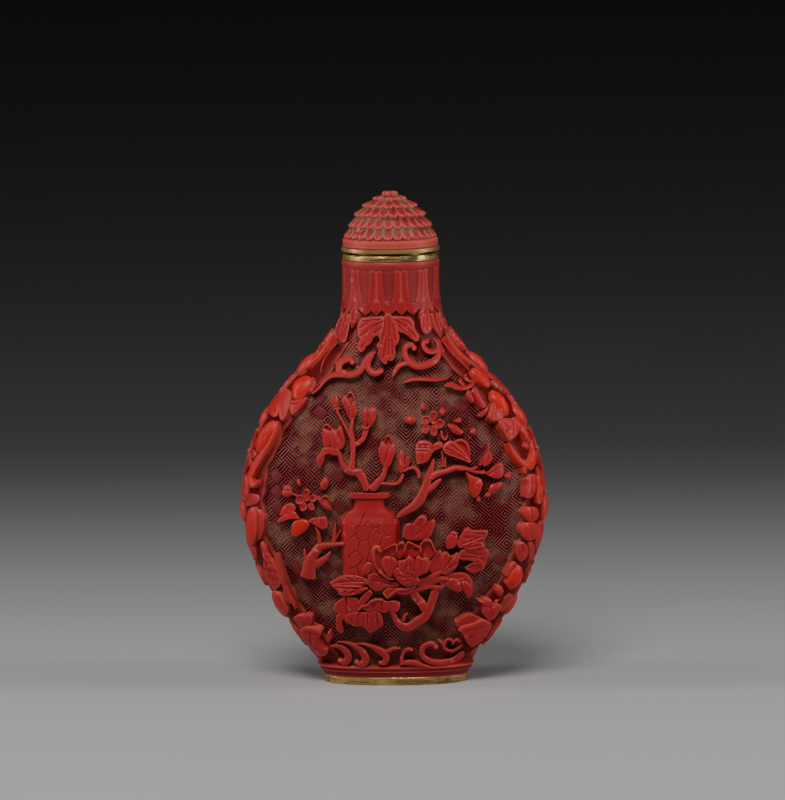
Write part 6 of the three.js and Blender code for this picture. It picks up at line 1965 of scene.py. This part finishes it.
class SNUFF_OT_body(bpy.types.Operator):
    """Spins the hollow body, with its foot moulding and neck ring"""
    bl_idname = "snuff.body"
    bl_label = "Body"

    def execute(self, context):
        carving = Carving()
        shell(carving)
        foot_and_neck_rings(carving)
        carving.finish("body", "lacquer", 40)
        return {"FINISHED"}


class SNUFF_OT_ground(bpy.types.Operator):
    """Lays the squared ground on both faces"""
    bl_idname = "snuff.ground"
    bl_label = "Diaper ground"

    def execute(self, context):
        for name, lay, seed in (("ground_front", front, 0), ("ground_back", back, 1)):
            carving = Carving()
            diaper(carving, lay, sizes().seed + seed)
            carving.finish(name, "ground", 25)
        return {"FINISHED"}


class SNUFF_OT_vase(bpy.types.Operator):
    """Carves the crackled vase"""
    bl_idname = "snuff.vase"
    bl_label = "Vase"

    def execute(self, context):
        on_front("vase", vase_forms, "glaze")
        return {"FINISHED"}


class SNUFF_OT_magnolia(bpy.types.Operator):
    """Carves the magnolia in the vase"""
    bl_idname = "snuff.magnolia"
    bl_label = "Magnolia"

    def execute(self, context):
        on_front("magnolia", magnolia_forms)
        return {"FINISHED"}


class SNUFF_OT_plum(bpy.types.Operator):
    """Carves the plum branch on the right and the plum sprig on the left"""
    bl_idname = "snuff.plum"
    bl_label = "Plum branches"

    def execute(self, context):
        on_front("plum_branch", plum_forms)
        on_front("plum_sprig", sprig_forms)
        return {"FINISHED"}


class SNUFF_OT_peony(bpy.types.Operator):
    """Carves the peony and its leaves"""
    bl_idname = "snuff.peony"
    bl_label = "Peony"

    def execute(self, context):
        on_front("peony", peony_forms)
        return {"FINISHED"}


class SNUFF_OT_back(bpy.types.Operator):
    """Carves the flowering branch on the back"""
    bl_idname = "snuff.back"
    bl_label = "Back branch"

    def execute(self, context):
        carving = Carving()
        back_forms(carving, back)
        carving.finish("back_branch", "lacquer")
        return {"FINISHED"}


class SNUFF_OT_scrolls(bpy.types.Operator):
    """Carves the scroll bands over and under both pictures"""
    bl_idname = "snuff.scrolls"
    bl_label = "Scroll bands"

    def execute(self, context):
        for name, lay in (("scrolls_front", front), ("scrolls_back", back)):
            carving = Carving()
            lower_scrolls(carving, lay)
            upper_scrolls(carving, lay)
            carving.finish(name, "lacquer")
        return {"FINISHED"}


class SNUFF_OT_neck(bpy.types.Operator):
    """Carves the lappets and the leaves that hang from the neck"""
    bl_idname = "snuff.neck"
    bl_label = "Neck"

    def execute(self, context):
        carving = Carving()
        neck_lappets(carving)
        carving.finish("neck_lappets", "lacquer", 30)
        carving = Carving()
        shoulder_leaves(carving)
        hanging_leaf(carving, front)
        hanging_leaf(carving, back)
        carving.finish("hanging_leaves", "lacquer")
        return {"FINISHED"}


class SNUFF_OT_border(bpy.types.Operator):
    """Carves the band and the fruit and leaves down both narrow sides"""
    bl_idname = "snuff.border"
    bl_label = "Border"

    def execute(self, context):
        carving = Carving()
        border_band(carving, 1)
        border_band(carving, -1)
        carving.finish("border_band", "band", 45)
        carving = Carving()
        border_motifs(carving)
        carving.finish("border_fruit", "lacquer")
        return {"FINISHED"}


class SNUFF_OT_stopper(bpy.types.Operator):
    """Carves the scaled dome"""
    bl_idname = "snuff.stopper"
    bl_label = "Stopper"

    def execute(self, context):
        carving = Carving()
        stopper_forms(carving)
        carving.finish("stopper_dome", "scales", node="stopper")
        return {"FINISHED"}


class SNUFF_OT_brass(bpy.types.Operator):
    """Turns the brass lip, the brass foot and the stopper's mount"""
    bl_idname = "snuff.brass"
    bl_label = "Brass"

    def execute(self, context):
        for name, made, finish_of, node in (
                ("brass_lip", lip_points(), "dull brass", "lip_rim"),
                ("brass_foot", foot_points(), "dark brass", "foot_rim"),
                ("brass_mount", mount_points(), "brass", "stopper_rim")):
            carving = Carving()
            carving.add(made, made[0], 1.0)
            carving.finish(name, finish_of, 40, node)
        return {"FINISHED"}


class SNUFF_OT_stage(bpy.types.Operator):
    """Sets the floor, the lights and the camera"""
    bl_idname = "snuff.stage"
    bl_label = "Stage"

    def execute(self, context):
        floor()
        lights()
        camera()
        return {"FINISHED"}


STEPS = (SNUFF_OT_body, SNUFF_OT_ground, SNUFF_OT_vase, SNUFF_OT_magnolia, SNUFF_OT_plum,
         SNUFF_OT_peony, SNUFF_OT_back, SNUFF_OT_scrolls, SNUFF_OT_neck, SNUFF_OT_border,
         SNUFF_OT_stopper, SNUFF_OT_brass, SNUFF_OT_stage)


class SNUFF_PT_panel(bpy.types.Panel):
    """Lists the sizes, the colours and the steps"""
    bl_idname = "SNUFF_PT_panel"
    bl_label = "Snuff Bottle"
    bl_space_type = "VIEW_3D"
    bl_region_type = "UI"
    bl_category = "Snuff Bottle"

    def draw(self, context):
        for group in (context.scene.snuff_sizes, context.scene.snuff_colours):
            box = self.layout.box()
            for key in group.bl_rna.properties.keys():
                if key not in ("rna_type", "name"):
                    box.prop(group, key)
        for step in STEPS:
            self.layout.operator(step.bl_idname)


CLASSES = (SnuffSizes, SnuffColours, *STEPS, SNUFF_PT_panel)


def register():
    for item in CLASSES:
        bpy.utils.register_class(item)
    bpy.types.Scene.snuff_sizes = bpy.props.PointerProperty(type=SnuffSizes)
    bpy.types.Scene.snuff_colours = bpy.props.PointerProperty(type=SnuffColours)


def unregister():
    del bpy.types.Scene.snuff_colours
    del bpy.types.Scene.snuff_sizes
    for item in reversed(CLASSES):
        bpy.utils.unregister_class(item)


def main():
    register()
    for step in STEPS:
        family, name = step.bl_idname.split(".")
        getattr(getattr(bpy.ops, family), name)()


if __name__ == "__main__":
    main()
